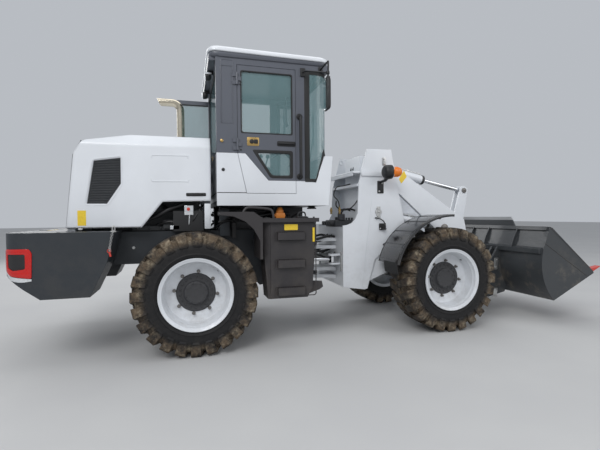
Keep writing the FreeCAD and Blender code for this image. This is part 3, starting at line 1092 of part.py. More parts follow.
def build_bucket():
    heel = Vector(s.heel_x, 0, s.heel_z)
    lip = Vector(s.lip_x, 0, s.lip_z)
    back = Vector(2528, 0, 640)
    bend = Vector(2575, 0, 980)
    top = Vector(2640, 0, 1165)
    centre, radius = circle_through(heel, back, bend)
    wall = s.bucket_wall
    floor = (lip - heel) / (lip - heel).Length
    up = Vector(-floor.z, 0, floor.x)
    rise = (top - bend) / (top - bend).Length
    into = Vector(rise.z, 0, -rise.x)
    inner_r = radius - wall
    bend_in = centre + (bend - centre) / radius * inner_r
    offset = heel + up * wall - centre
    along = offset.dot(floor)
    depth = math.sqrt(along * along - offset.Length ** 2 + inner_r ** 2)
    heel_in = heel + up * wall + floor * (-along - depth)
    back_in = centre + (back - centre) / radius * inner_r
    half = s.bucket_y - s.bucket_side
    def lift(point):
        return point + Vector(0, -half, 0)
    profile = Part.Wire([
        Part.makeLine(lift(lip), lift(heel)), Part.Arc(lift(heel), lift(back), lift(bend)).toShape(),
        Part.makeLine(lift(bend), lift(top)), Part.makeLine(lift(top), lift(top + into * wall)),
        Part.makeLine(lift(top + into * wall), lift(bend_in)),
        Part.Arc(lift(bend_in), lift(back_in), lift(heel_in)).toShape(),
        Part.makeLine(lift(heel_in), lift(lip + up * wall)), Part.makeLine(lift(lip + up * wall),
                                                                           lift(lip))])
    shell = Part.Face(profile).extrude(Vector(0, 2 * half, 0))
    brow = lip + Vector(-68, 0, 75)
    side_wire = Part.Wire([
        Part.Arc(lift(heel), lift(back), lift(bend)).toShape(), Part.makeLine(lift(bend), lift(top)),
        Part.makeLine(lift(top), lift(top + into * 40)),
        Part.makeLine(lift(top + into * 40), lift(brow)), Part.makeLine(lift(brow), lift(lip + up * 30)),
        Part.makeLine(lift(lip + up * 30), lift(lip)), Part.makeLine(lift(lip), lift(heel))])
    side = Part.Face(side_wire).extrude(Vector(0, -s.bucket_side, 0))
    shape = shell.fuse(side).fuse(side.mirror(Vector(0, 0, 0), Vector(0, 1, 0)))
    band = prism_y([(2500, 850), (2500, 906), (2575, 925), (2560, 850)], -half, half)
    rim = prism_y([(2604, 1124), (2626, 1124), (2642, 1165), (2618, 1168)], -half, half)
    shape = shape.fuse(band).fuse(rim)
    for y in (-s.rib_outer, -s.rib_inner, s.rib_inner, s.rib_outer):
        rib = prism_y([(2500, 880), (2560, 880), (2590, 1020), (2622, 1140), (2606, 1140), (2540, 1010)],
                      y - s.rib_wall / 2, y + s.rib_wall / 2)
        shape = shape.fuse(rib)
    outer_y, inner_y = s.arm_y + 10, s.arm_y - s.arm_wall - 10
    for y0, y1 in ((outer_y, outer_y + 28), (inner_y - 28, inner_y)):
        ear = prism_y([(2290, 250), (2280, 340), (2370, 700), (2490, 890), (2590, 890), (2560, 560), (2640,
                                                                                                      380),
                       (2600, 290), (2350, 235)], y0, y1)
        ear = ear.fuse(round_y(s.bucket_x, s.bucket_z, 78, y0, y1))
        shape = shape.fuse(ear).fuse(ear.mirror(Vector(0, 0, 0), Vector(0, 1, 0)))
    for side in (1, -1):
        y0 = side * (s.link_half + s.eye_gap)
        y1 = side * (s.link_half + s.eye_gap + 28)
        lug = prism_y([(2253, 575), (2560, 760), (2540, 470), (2275, 470)], min(y0, y1), max(y0, y1))
        lug = lug.fuse(round_y(s.link_x, s.link_z, 54, min(y0, y1), max(y0, y1)))
        shape = shape.fuse(lug)
        pin_y = sorted((side * (s.arm_y - s.arm_wall - 38), side * (s.arm_y + 46)))
        shape = shape.fuse(round_y(s.bucket_x, s.bucket_z, s.pin_radius, *pin_y))
    inside = Part.Face(Part.Wire([
        Part.makeLine(lift(lip + up * wall + floor * 200), lift(heel_in)),
        Part.Arc(lift(heel_in), lift(back_in), lift(bend_in)).toShape(),
        Part.makeLine(lift(bend_in), lift(top + into * wall + rise * 100)),
        Part.makeLine(lift(top + into * wall + rise * 100), lift(lip + up * wall + floor * 200))]))
    shape = shape.cut(inside.extrude(Vector(0, 2 * half, 0)))
    guard = [Vector(s.guard_x, y, z) for y, z in (
        (-s.guard_foot, top.z - 20), (s.guard_foot, top.z - 20), (s.guard_half, s.guard_top),
        (-s.guard_half, s.guard_top))]
    guard = Part.Face(Part.makePolygon(guard + guard[:1])).extrude(Vector(s.guard_wall, 0, 0))
    shape = shape.fuse(guard)
    node("bucket", solid("Bucket", shape.removeSplitter()))
    teeth = []
    count = int(s.tooth_count)
    reach = (s.tooth_tip - s.lip_x) / floor.x
    for i in range(count):
        y = -half + 45 + i * (2 * half - 90) / (count - 1)
        seat = up * (wall + s.running)
        front = lip + floor * s.running
        outline = [lip - floor * 60 + seat, lip + up * (wall + 34), lip + floor * reach, front, front + seat]
        tooth = prism_y([(point.x, point.z) for point in outline], y - 38, y + 38)
        teeth.append(tooth)
    node("bucket_teeth", solid("BucketTeeth", Part.makeCompound(teeth)))


build_wheels()
build_axle("rear_axle", s.rear_axle_x, 1)
build_axle("front_axle", s.front_axle_x, -1)
build_rear_frame()
build_ballast()
build_hood()
build_exhaust()
build_cab()
build_door("right", -1, False)
build_door("left", 1, True)
build_rear_fenders()
build_trim()
build_shafts()
build_front_frame()
build_front_fenders()
build_arms()
build_lever()
build_cylinders()
build_bucket()

doc.recompute()
failed = [item.Label for item in doc.Objects if "Invalid" in item.State or "Error" in item.State]
if failed:
    raise RuntimeError("not built: " + ", ".join(failed))
for label, item in nodes.items():
    if item.Shape.isNull() or not item.Shape.isValid():
        raise RuntimeError("bad shape: " + label)

os.makedirs("parts", exist_ok=True)
for label, item in nodes.items():
    item.Shape.exportStep("parts/%s.step" % label)
    print(label, len(item.Shape.Solids), round(item.Shape.Volume / 1e6, 2))
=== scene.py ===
import math

import bmesh
import bpy
from mathutils import Matrix, Vector


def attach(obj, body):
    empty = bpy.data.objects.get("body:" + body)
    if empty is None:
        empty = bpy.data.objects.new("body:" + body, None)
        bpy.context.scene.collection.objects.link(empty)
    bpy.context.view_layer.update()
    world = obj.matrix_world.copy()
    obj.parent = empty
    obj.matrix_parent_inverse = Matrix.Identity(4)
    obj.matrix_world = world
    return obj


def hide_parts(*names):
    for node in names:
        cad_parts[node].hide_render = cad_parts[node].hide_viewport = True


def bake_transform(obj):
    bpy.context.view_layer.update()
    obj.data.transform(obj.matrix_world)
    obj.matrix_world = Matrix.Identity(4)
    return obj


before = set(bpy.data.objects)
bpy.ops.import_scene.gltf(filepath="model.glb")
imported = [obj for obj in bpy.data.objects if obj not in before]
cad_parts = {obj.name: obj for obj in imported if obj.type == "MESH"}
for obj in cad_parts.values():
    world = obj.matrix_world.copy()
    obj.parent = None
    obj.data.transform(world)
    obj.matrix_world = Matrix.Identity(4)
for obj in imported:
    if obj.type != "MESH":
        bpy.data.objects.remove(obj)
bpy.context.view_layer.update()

# Lengths are in millimetres from the steering pivot's foot on the ground: x ahead, y to the left, z up.
MM = 0.001
SHIFT = -239.5  # the pivot in the frame, along x
REAR, FRONT = -1390.0, 1390.0  # axles
TRACK, HUB = 795.0, 587.5  # a wheel's middle: across and up
WHEELS = {"front_right": (FRONT, -1), "front_left": (FRONT, 1),
          "rear_right": (REAR, -1), "rear_left": (REAR, 1)}  # along, and the side: -1 right, 1 left
WHEEL_SIDES = 96
LUGS, LUG_FOOT = 24, 553.0  # lugs a side, and the radius they stand on
# A right door's x, y is OPEN_SUM - x, y + OPEN_RISE on the left door, which stands open.
OPEN_SUM, OPEN_RISE = -1920.0, 1424.6
HOOD_SIDE, CAB_SIDE, STEP_SIDE, TOWER_SIDE = 620, 700, 956, 449
GRILLE = [(-2310, 1860), (-2074, 1894), (-2075, 1645), (-2201, 1451), (-2375, 1451)]
WINDOW, LOWER_LIGHT = ([(-919, 2807), (-379, 2807), (-379, 2176), (-919, 2176)],
                       [(-802, 2003), (-379, 2003), (-379, 1720), (-614, 1720)])
FENDER_X, FENDER_Z, FENDER_START, FENDER_END = 1410, 607.5, 88, 166  # the arc's middle and its angles
AHEAD, LEFT, RIGHT, UP = (1, 0, 0), (0, 1, 0), (0, -1, 0), (0, 0, 1)
PLANES = {"XZ": lambda a, b, t: (a, t, b), "XY": lambda a, b, t: (a, b, t), "YZ": lambda a, b, t: (t, a, b)}
PAD_VOXEL, PAD_SWELL, PAD_PRESSURE, PAD_FRAMES = 0.009, 16, 4, 20
CAMERA_SPOT, CAMERA_LENS = (-1.7105, -4.816, 1.314), 23.99
CAMERA_YAW, CAMERA_DIP, CAMERA_ROLL = -15.85, 1.24, -0.5


def place(x, y, z):
    """A point stated in millimetres, in the frame's metres."""
    return Vector(((x + SHIFT) * MM, y * MM, z * MM))


# Materials -------------------------------------------------------------------------------------------

class Mix:
    """A material's nodes, added one after another."""

    def __init__(self, name):
        self.mat = bpy.data.materials.new(name)
        self.mat.use_nodes = True
        self.tree = self.mat.node_tree
        self.bsdf = self.tree.nodes["Principled BSDF"]
        self.coord = self.tree.nodes.new("ShaderNodeTexCoord").outputs["Object"]

    def feed(self, item, inputs):
        """Sets a node's inputs, or links those whose value is another node's output."""
        for key, value in inputs.items():
            if isinstance(value, bpy.types.NodeSocket):
                self.tree.links.new(value, item.inputs[key])
            else:
                item.inputs[key].default_value = value
        return item

    def add(self, kind, inputs, **settings):
        item = self.tree.nodes.new(kind)
        for key, value in settings.items():
            setattr(item, key, value)
        return self.feed(item, inputs)

    def surface(self, **inputs):
        """Feeds the surface; Base_Color stands for its Base Color."""
        self.feed(self.bsdf, {key.replace("_", " "): value for key, value in inputs.items()})

    def plus(self, a, b):
        return self.add("ShaderNodeMath", {0: a, 1: b}, operation="ADD").outputs[0]

    def less(self, a, b):
        return self.add("ShaderNodeMath", {0: a, 1: b}, operation="SUBTRACT").outputs[0]

    def times(self, a, b, clamp=False):
        return self.add("ShaderNodeMath", {0: a, 1: b}, operation="MULTIPLY", use_clamp=clamp).outputs[0]

    def noise(self, scale, detail=4.0, rough=0.6):
        inputs = {"Scale": scale, "Detail": detail, "Roughness": rough, "Vector": self.coord}
        return self.add("ShaderNodeTexNoise", inputs).outputs["Fac"]

    def span(self, value, low, high, to_low=0.0, to_high=1.0):
        """Turns the range from low to high into another, with soft ends."""
        inputs = {"Value": value, "From Min": low, "From Max": high, "To Min": to_low, "To Max": to_high}
        return self.add("ShaderNodeMapRange", inputs, interpolation_type="SMOOTHSTEP").outputs["Result"]

    def blend(self, amount, a, b):
        return self.add("ShaderNodeMix", {0: amount, 6: a, 7: b}, data_type="RGBA").outputs[2]

    def mottled(self, source, tone, share):
        """A tone that sinks to a share of itself in patches."""
        return self.blend(self.span(source, 0.3, 0.7), tone + (1,), tuple(c * share for c in tone) + (1,))

    def axis(self, index):
        return self.add("ShaderNodeSeparateXYZ", {0: self.coord}).outputs[index]

    def relief(self, height, strength, distance, edge=0.0):
        """Bumps the surface; edge rounds its corners by that radius in metres."""
        inputs = {"Strength": strength, "Distance": distance, "Height": height}
        if edge:
            inputs["Normal"] = self.add("ShaderNodeBevel", {"Radius": edge}, samples=4).outputs[0]
        self.surface(Normal=self.add("ShaderNodeBump", inputs).outputs[0])


DUST = (0.235, 0.195, 0.15, 1)
MUD = (0.125, 0.092, 0.062, 1)


def paint(name, tone, gloss, dust=0.35, coat=0.25, edge=0.004, low=0.25, high=1.5):
    """Sprayed paint, a little uneven, with dust that thickens towards the ground."""
    m = Mix(name)
    fine = m.noise(26.0, 5.0, 0.7)
    fall = m.span(m.axis(2), high, low, 0.06, 1.0)
    patch = m.span(m.plus(m.times(m.noise(4.5, 6.0, 0.7), 0.75), m.times(fine, 0.35)), 0.42, 0.72)
    amount = m.times(m.times(fall, patch), dust, clamp=True)
    m.surface(Base_Color=m.blend(amount, m.mottled(m.noise(1.7, 3.0), tone, 0.93), DUST),
              Roughness=m.plus(m.span(fine, 0.2, 0.8, gloss - 0.04, gloss + 0.06), m.times(amount, 0.45)),
              Coat_Weight=coat, Coat_Roughness=0.12)
    m.relief(m.noise(55.0, 2.0), 0.05, 0.001, edge)
    return m.mat


def plain(name, tone, rough, metal=0.0, grain=60.0, bump=0.08, edge=0.0, uneven=0.12):
    """An even finish with slight tone and gloss changes."""
    m = Mix(name)
    fine = m.noise(grain, 4.0, 0.65)
    m.surface(Base_Color=m.mottled(fine, tone, 1 - uneven), Metallic=metal,
              Roughness=m.span(fine, 0.2, 0.8, max(0.02, rough - 0.06), min(1.0, rough + 0.08)))
    m.relief(fine, bump, 0.001, edge)
    return m.mat


def rubber_with_mud():
    """Tread rubber; dry brown mud sits between the lugs and on the shoulders."""
    m = Mix("lugged_rubber")
    off_pivot = m.add("ShaderNodeMath", {0: m.less(m.axis(0), SHIFT * MM)}, operation="ABSOLUTE").outputs[0]
    along = m.less(off_pivot, FRONT * MM)
    up = m.less(m.axis(2), HUB * MM)
    radius = m.add("ShaderNodeMath", {0: m.plus(m.times(along, along), m.times(up, up))},
                   operation="SQRT").outputs[0]
    fine, rough = m.noise(38.0, 6.0, 0.7), m.noise(7.0, 6.0, 0.7)
    tread = m.span(radius, 0.45, 0.52)
    crest = m.span(radius, 0.566, 0.586, 1.0, 0.35)
    patch = m.span(m.plus(m.times(rough, 0.7), m.times(fine, 0.4)), 0.4, 0.66)
    mud = m.times(m.times(tread, crest), patch, clamp=True)
    film = m.times(m.times(m.span(rough, 0.45, 0.75), m.span(radius, 0.4, 0.5)), 0.3)
    rubber = m.blend(m.span(fine, 0.3, 0.7), (0.01, 0.01, 0.011, 1), (0.018, 0.017, 0.017, 1))
    clay = m.blend(m.span(m.noise(13.0, 6.0, 0.75), 0.46, 0.66), MUD, (0.3, 0.25, 0.18, 1))
    m.surface(Base_Color=m.blend(mud, m.blend(film, rubber, (0.1, 0.083, 0.066, 1)), clay),
              Specular_IOR_Level=0.28, Roughness=m.span(mud, 0.0, 1.0, 0.62, 0.95))
    m.relief(m.plus(fine, m.times(mud, 2.0)), 0.35, 0.004)
    return m.mat


def tinted_glass(name, tone, alpha):
    """Smooth see-through glass of a nearly even tone."""
    m = Mix(name)
    m.surface(Base_Color=m.mottled(m.noise(1.2, 2.0), tone, 0.9), Roughness=0.03, Alpha=alpha,
              Specular_IOR_Level=0.7)
    return m.mat


def bucket_paint():
    """Even grey paint, scuffed in places, and pale grey above 1.24 m, a thin band along the top edge of the
    spill guard.
    """
    m = Mix("bucket_paint")
    fine = m.noise(24.0, 5.0, 0.7)
    shade = m.blend(m.span(m.noise(2.2, 3.0), 0.3, 0.7), (0.04, 0.044, 0.048, 1), (0.034, 0.038, 0.042, 1))
    shade = m.blend(m.span(m.noise(9.0, 8.0, 0.75), 0.64, 0.72, 0.0, 0.3), shade, (0.16, 0.155, 0.15, 1))
    soil = m.times(m.span(m.axis(2), 1.1, 0.2, 0.0, 0.5), m.span(m.noise(5.0, 6.0, 0.7), 0.5, 0.7))
    # Everything above 1.24 m is pale grey: a thin band along the top edge.
    pale_top = m.span(m.axis(2), 1.240, 1.246)
    m.surface(Base_Color=m.blend(pale_top, m.blend(soil, shade, DUST), (0.36, 0.37, 0.38, 1)),
              Roughness=m.span(fine, 0.2, 0.8, 0.34, 0.46), Coat_Weight=0.15)
    m.relief(m.noise(55.0, 2.0), 0.08, 0.001, 0.006)
    return m.mat


WHITE = paint("white_paint", (0.74, 0.765, 0.8), 0.3, dust=0.16)
HOOD_WHITE = paint("hood_white", (0.74, 0.765, 0.8), 0.3, dust=0.16, edge=0.032)
RIM_WHITE = paint("wheel_white", (0.7, 0.725, 0.76), 0.34, dust=0.3, low=0.1, high=1.3)
SLATE = paint("slate_paint", (0.098, 0.106, 0.128), 0.36, dust=0.16)
DARK = paint("dark_grey_paint", (0.02, 0.025, 0.031), 0.46, dust=0.08, coat=0.08)
TAUPE = paint("taupe_paint", (0.029, 0.026, 0.028), 0.48, dust=0.14, coat=0.08)
LOUVRE = paint("louvre_grey", (0.06, 0.064, 0.07), 0.5, dust=0.1, coat=0.0)
GLOSS_BLACK = paint("gloss_black_paint", (0.014, 0.015, 0.018), 0.2, dust=0.16, coat=0.6)
BLACK_PAINT = paint("black_paint", (0.016, 0.016, 0.018), 0.4, dust=0.5)
BUCKET_GREY = bucket_paint()
RED = paint("red_paint", (0.6, 0.035, 0.02), 0.38, dust=0.35)
CAST = plain("painted_casting", (0.04, 0.04, 0.043), 0.6, bump=0.4, edge=0.004)
ENGINE = plain("engine_casting", (0.05, 0.052, 0.055), 0.55, bump=0.4, edge=0.006)
BLACK = plain("black_plastic", (0.014, 0.014, 0.015), 0.5, edge=0.002)
RUBBER = plain("black_rubber", (0.013, 0.013, 0.013), 0.62, bump=0.15)
HOSE = plain("hose_rubber", (0.011, 0.011, 0.012), 0.45, grain=140.0, bump=0.25)
CHROME = plain("rod_chrome", (0.75, 0.76, 0.78), 0.09, metal=1.0, bump=0.02)
ZINC = plain("zinc_plate", (0.58, 0.58, 0.57), 0.34, metal=0.9, edge=0.0015)
ZINC_DARK = plain("weathered_zinc", (0.2, 0.19, 0.18), 0.45, metal=0.7)
MIRROR = plain("mirror_silver", (0.86, 0.88, 0.9), 0.05, metal=1.0, bump=0.0)
BRASS = plain("brass_fitting", (0.62, 0.42, 0.16), 0.3, metal=1.0)
PIPE = plain("heat_tinted_pipe", (0.7, 0.63, 0.5), 0.16, metal=1.0, grain=6.0, bump=0.0, uneven=0.2)
YELLOW = plain("yellow_sheet", (0.85, 0.6, 0.04), 0.4)
AMBER_PAINT = plain("amber_paint", (0.6, 0.2, 0.03), 0.45)
ORANGE = plain("orange_lens", (0.85, 0.22, 0.02), 0.18)
RED_LENS = plain("red_lens", (0.55, 0.015, 0.012), 0.16)
CLEAR_LENS = plain("clear_lens", (0.72, 0.74, 0.76), 0.12, metal=0.4)
FABRIC = plain("seat_cloth", (0.022, 0.022, 0.025), 0.9, grain=220.0, bump=0.5)
TYRE = rubber_with_mud()
GLASS = tinted_glass("teal_glass", (0.2, 0.33, 0.345), 0.42)


# Shapes ----------------------------------------------------------------------------------------------

def circle(count, turn=0.0):
    """Evenly spaced angles round a circle."""
    return [2 * math.pi * i / count + turn for i in range(count)]


def oblong(x0, x1, z0, z1):
    """A rectangle's four corners."""
    return [(x0, z0), (x1, z0), (x1, z1), (x0, z1)]


class Form:
    """A mesh built up from plain shapes."""

    def __init__(self):
        self.bm = bmesh.new()

    def loft(self, rings, ends=True, closed=False):
        """Joins rings of points, each with the same count, into a skin, or closed into a ring of its own."""
        rows = [[self.bm.verts.new(place(*p)) for p in ring] for ring in rings]
        size = len(rows[0])
        for a, b in zip(rows, rows[1:] + rows[:1] if closed else rows[1:]):
            for i in range(size):
                j = (i + 1) % size
                self.bm.faces.new((a[i], a[j], b[j], b[i]))
        if ends and not closed:
            self.bm.faces.new(rows[0][::-1])
            self.bm.faces.new(rows[-1])
        return self

    def prism(self, corners, low, high, plane="XZ"):
        """A flat outline given thickness: XZ along Y, XY along Z, YZ along X."""
        return self.loft([[PLANES[plane](a, b, t) for a, b in corners] for t in (low, high)])

    def plate(self, x0, x1, z0, z1, corner, low, high):
        """An upright plate with rounded corners."""
        return self.prism(rounded(oblong(x0, x1, z0, z1), corner), low, high)

    def block(self, x0, x1, y0, y1, z0, z1):
        return self.prism(oblong(x0, x1, z0, z1), y0, y1)

    def frame(self, outer, inner, low, high, plane="XZ"):
        """A flat ring between two outlines with the same count, given thickness."""
        return self.loft([[PLANES[plane](a, b, t) for a, b in line] for line, t in
                          ((outer, low), (outer, high), (inner, high), (inner, low))], closed=True)

    def ring(self, centre, radius, normal, sides):
        """Points round a circle."""
        normal = Vector(normal).normalized()
        side = normal.orthogonal().normalized()
        other = normal.cross(side)
        return [Vector(centre) + (side * math.cos(a) + other * math.sin(a)) * radius for a in circle(sides)]

    def rod(self, start, end, radius, sides=20, end_radius=None):
        run = Vector(end) - Vector(start)
        return self.loft([self.ring(start, radius, run, sides),
                          self.ring(end, end_radius or radius, run, sides)])

    def turned(self, centre, profile, axis, sides, closed=False):
        """(Distance along the axis, radius) steps turned round an axis; closed is open in the middle."""
        axis = Vector(axis).normalized()
        return self.loft([self.ring(Vector(centre) + axis * along, max(radius, 0.01), axis, sides)
                          for along, radius in profile], closed=closed)

    def ball(self, centre, radius, steps=8):
        return self.turned(centre, [(-radius * math.cos(math.pi * i / steps),
                                     radius * math.sin(math.pi * i / steps))
                                    for i in range(steps + 1)], UP, 16)

    def hoop(self, centre, radius, thick, axis, sides, small):
        """A round ring like a steering wheel's rim."""
        axis = Vector(axis).normalized()
        side = axis.orthogonal().normalized()
        other = axis.cross(side)
        rings = []
        for a in circle(sides):
            out = side * math.cos(a) + other * math.sin(a)
            rings.append([Vector(centre) + out * (radius + thick * math.cos(b)) + axis * thick * math.sin(b)
                          for b in circle(small)])
        return self.loft(rings, closed=True)

    def tube(self, points, radius, sides=12, steps=8):
        """A round bar or hose through points, smoothed between them."""
        path = smooth_path([Vector(p) for p in points], steps)
        rings = []
        side = None
        for i, point in enumerate(path):
            run = (path[min(i + 1, len(path) - 1)] - path[max(i - 1, 0)]).normalized()
            if side is None:
                side = run.orthogonal().normalized()
            side = (side - run * side.dot(run)).normalized()
            other = run.cross(side)
            rings.append([point + (side * math.cos(a) + other * math.sin(a)) * radius for a in circle(sides)])
        return self.loft(rings)

    def bolt(self, centre, axis, size, height=None):
        """A washer with a hexagon head."""
        axis = Vector(axis).normalized()
        washer = Vector(centre) + axis * size * 0.15
        self.rod(centre, washer, size * 0.72, 16)
        top = washer + axis * (height or size * 0.65)
        return self.loft([self.ring(spot, size * 0.55, axis, 6) for spot in (washer, top)])

    def bolts(self, size, y, spots):
        """Bolts that face right, at places along and up."""
        for x, z in spots:
            self.bolt((x, y, z), RIGHT, size)

    def both(self):
        """Adds the mirror image on the machine's other side."""
        made = bmesh.ops.duplicate(self.bm, geom=self.bm.verts[:] + self.bm.edges[:]
                                   + self.bm.faces[:])["geom"]
        for v in made:
            if isinstance(v, bmesh.types.BMVert):
                v.co.y = -v.co.y
        bmesh.ops.reverse_faces(self.bm, faces=[f for f in made if isinstance(f, bmesh.types.BMFace)])
        return self

    def swung(self):
        """Moves a right door's piece to the left door, which stands open."""
        for v in self.bm.verts:
            v.co.x = (OPEN_SUM + 2 * SHIFT) * MM - v.co.x
            v.co.y += OPEN_RISE * MM

    def made(self, name):
        """The mesh as an object in the scene."""
        mesh = bpy.data.meshes.new(name)
        self.bm.to_mesh(mesh)
        self.bm.free()
        item = bpy.data.objects.new(name, mesh)
        bpy.context.scene.collection.objects.link(item)
        return item

    def done(self, name, body, material, slot=None, bevel=0.0, angle=35, segments=2, smooth=True):
        """Finishes the piece: rounded edges, outward faces, material, and the body it rides on."""
        bm = self.bm
        bmesh.ops.recalc_face_normals(bm, faces=bm.faces[:])
        if bevel:
            sharp = [e for e in bm.edges
                     if len(e.link_faces) == 2 and e.calc_face_angle(0) > math.radians(angle)]
            bmesh.ops.bevel(bm, geom=sharp, offset=bevel * MM, segments=segments, affect="EDGES",
                            clamp_overlap=True, profile=0.5)
        item = self.made(name)
        mesh = item.data
        mesh.materials.append(material)
        mesh.polygons.foreach_set("use_smooth", [smooth] * len(mesh.polygons))
        mesh.set_sharp_from_angle(angle=math.radians(angle))
        if body:
            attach(item, body)
        return item


def smooth_path(points, steps):
    """A curve through every point."""
    if steps == 1:
        return points
    path = []
    for i in range(len(points) - 1):
        before = points[max(i - 1, 0)]
        here, there = points[i], points[i + 1]
        after = points[min(i + 2, len(points) - 1)]
        for k in range(steps):
            t = k / steps
            path.append(0.5 * ((2 * here) + (there - before) * t
                               + (2 * before - 5 * here + 4 * there - after) * t * t
                               + (3 * here - before - 3 * there + after) * t ** 3))
    path.append(points[-1])
    return path


def inset(corners, gap):
    """The outline moved inwards by a gap."""
    ahead = corners[1:] + corners[:1]
    sign = 1 if sum(a[0] * b[1] - b[0] * a[1] for a, b in zip(corners, ahead)) > 0 else -1
    made = []
    for before, here, after in zip(corners[-1:] + corners[:-1], corners, ahead):
        here = Vector(here)
        run = (here - Vector(before)).normalized()
        onward = (Vector(after) - here).normalized()
        push = Vector((-run.y - onward.y, run.x + onward.x)).normalized()
        reach = gap / max(0.3, push.dot(Vector((-run.y, run.x))))
        made.append(tuple(here + push * reach * sign))
    return made


def rounded(corners, radius, steps=5):
    """The outline with its corners rounded."""
    made = []
    for i, corner in enumerate(corners):
        here = Vector(corner)
        before = Vector(corners[i - 1]) - here
        after = Vector(corners[(i + 1) % len(corners)]) - here
        cut = min(radius, before.length * 0.45, after.length * 0.45)
        a, b = here + before.normalized() * cut, here + after.normalized() * cut
        for f in (k / steps for k in range(steps + 1)):
            made.append(tuple(a * (1 - f) ** 2 + here * 2 * f * (1 - f) + b * f * f))
    return made


def finish_nodes():
    """Gives the CAD nodes that show as they are their materials."""
    for material, names in (
            (HOOD_WHITE, "hood"),
            (WHITE, "cab_panels door_skin_right door_skin_left front_frame lift_arms tilt_lever bucket_link "
                    "tilt_barrel lift_barrels steering_barrel_left steering_barrel_right"),
            (SLATE, "cab_frame door_right door_left"),
            (DARK, "counterweight tow_hitch rear_frame cab_floor"),
            (TAUPE, "rear_fenders entry_steps"),
            (BUCKET_GREY, "bucket"),
            (RED, "bucket_teeth"),
            (CAST, "rear_axle front_axle transmission"),
            (ENGINE, "engine_block radiator"),
            (CHROME, "tilt_rod lift_rods steering_rod_left steering_rod_right"),
            (ZINC, "frame_pins rear_drive_shaft front_drive_shaft"),
            (BLACK, "bay_fittings"),
            (GLASS, "windscreen rear_window door_glass_right door_glass_left")):
        for name in names.split():
            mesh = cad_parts[name].data
            mesh.materials.clear()
            mesh.materials.append(material)


# Wheels ----------------------------------------------------------------------------------------------

def build_tyres():
    """Casings with a raised band, and lugs on each side that lean back from the middle."""
    side = [(312, 176), (336, 186), (344, 178), (352, 184), (372, 190), (376, 195), (384, 195), (388, 191),
            (424, 197), (456, 197), (476, 190), (500, 182), (522, 172), (540, 158), (LUG_FOOT - 2, 130),
            (LUG_FOOT, 60)]
    profile = [(-y, r) for r, y in side] + [(y, r) for r, y in reversed(side)]
    for name, (x, hand) in WHEELS.items():
        centre = (x, hand * TRACK, HUB)
        form = Form().turned(centre, profile, LEFT, WHEEL_SIDES, closed=True)
        for flip in (1, -1):
            shift = 0.0 if flip * hand > 0 else 0.5
            for k in range(LUGS):
                form.loft(lug_rings(centre, flip, k + shift))
        item = form.done("tyre_tread_" + name, "wheel_" + name, TYRE, "tyre", bevel=5, angle=50)
        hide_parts("tyre_" + name)


def lug_rings(centre, flip, turn):
    """Cross-sections of one tread lug from the middle of the tyre out over the shoulder."""
    pitch = 2 * math.pi / LUGS
    rings = []
    for y, lean, top, low, width in ((-6, 0.0, 587, LUG_FOOT - 8, 0.26),
                                     (60, 0.14, 587.5, LUG_FOOT - 8, 0.27),
                                     (130, 0.31, 587, LUG_FOOT - 30, 0.29),
                                     (184, 0.44, 584, LUG_FOOT - 70, 0.31),
                                     (202, 0.46, 562, LUG_FOOT - 98, 0.31), (208, 0.46, 520, 462, 0.28),
                                     (196, 0.46, 462, 440, 0.22)):
        middle = -math.pi / 2 + (turn + 0.365 - lean) * pitch
        ring = []
        for radius, spread in ((low, 1.12), (top, 1.0), (top, -1.0), (low, -1.12)):
            angle = middle + spread * width * pitch
            ring.append((centre[0] + radius * math.cos(angle), centre[1] + flip * y,
                         centre[2] + radius * math.sin(angle)))
        rings.append(ring)
    return rings


def build_rims():
    """Deep dished wheels: flange, stepped well, disc with nuts, the dark hub and the valve."""
    profile = [(-192, 343), (-192, 300), (-20, 300), (-8, 296), (-6, 60), (22, 60), (22, 268), (30, 284),
               (58, 293),
               (120, 298), (142, 300), (150, 306), (168, 309), (182, 312), (186, 320), (190, 331), (196, 338),
               (198, 343), (194, 346), (186, 345.5), (178, 341.6), (-178, 341.6)]
    for name, (x, hand) in WHEELS.items():
        axis, body = Vector((0, hand, 0)), "wheel_" + name
        centre = Vector((x, hand * TRACK, HUB))
        form = Form().turned(centre, profile, axis, WHEEL_SIDES, closed=True)
        item = form.done("wheel_rim_" + name, body, RIM_WHITE, "white_paint", angle=30)
        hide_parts("rim_" + name)
        hub = Form()
        hub.turned(centre, [(0, 187), (26, 187), (34, 181), (36, 172), (35, 168), (35, 128), (37, 118),
                            (46, 114), (60, 110), (65, 104), (65, 84), (63, 80), (63, 20), (63, 0)], axis, 72)
        for count, reach, foot, size in ((18, 150, 35, 15), (8, 96, 65, 13)):
            for k in range(count):
                a = 2 * math.pi * (k + 0.4) / count
                hub.bolt(centre + Vector((math.cos(a), 0, math.sin(a))) * reach + axis * foot, axis, size, 7)
        hub.done("wheel_hub_" + name, body, CAST, "cast", bevel=1.5, angle=25)
        nuts = Form()
        for k in range(8):
            a = math.radians(-97 + 45 * k)
            spot = centre + Vector((math.cos(a), 0, math.sin(a))) * 204
            nuts.bolt(spot + axis * 22, axis, 25, 20)
            nuts.rod(spot + axis * 40, spot + axis * 58, 8, 10)
        nuts.done("wheel_nuts_" + name, body, ZINC_DARK, bevel=0.8)
        foot = centre + Vector((210, hand * 24, 205))
        Form().rod(foot, foot + axis * 46, 7, 10).done("valve_stem_" + name, body, RUBBER)


# Rear half -------------------------------------------------------------------------------------------

def span_at(corners, level):
    """Where a level line enters and leaves an outline."""
    hits = []
    for (x0, z0), (x1, z1) in zip(corners, corners[1:] + corners[:1]):
        if (z0 - level) * (z1 - level) < 0:
            hits.append(x0 + (x1 - x0) * (level - z0) / (z1 - z0))
    return (min(hits), max(hits)) if len(hits) > 1 else None


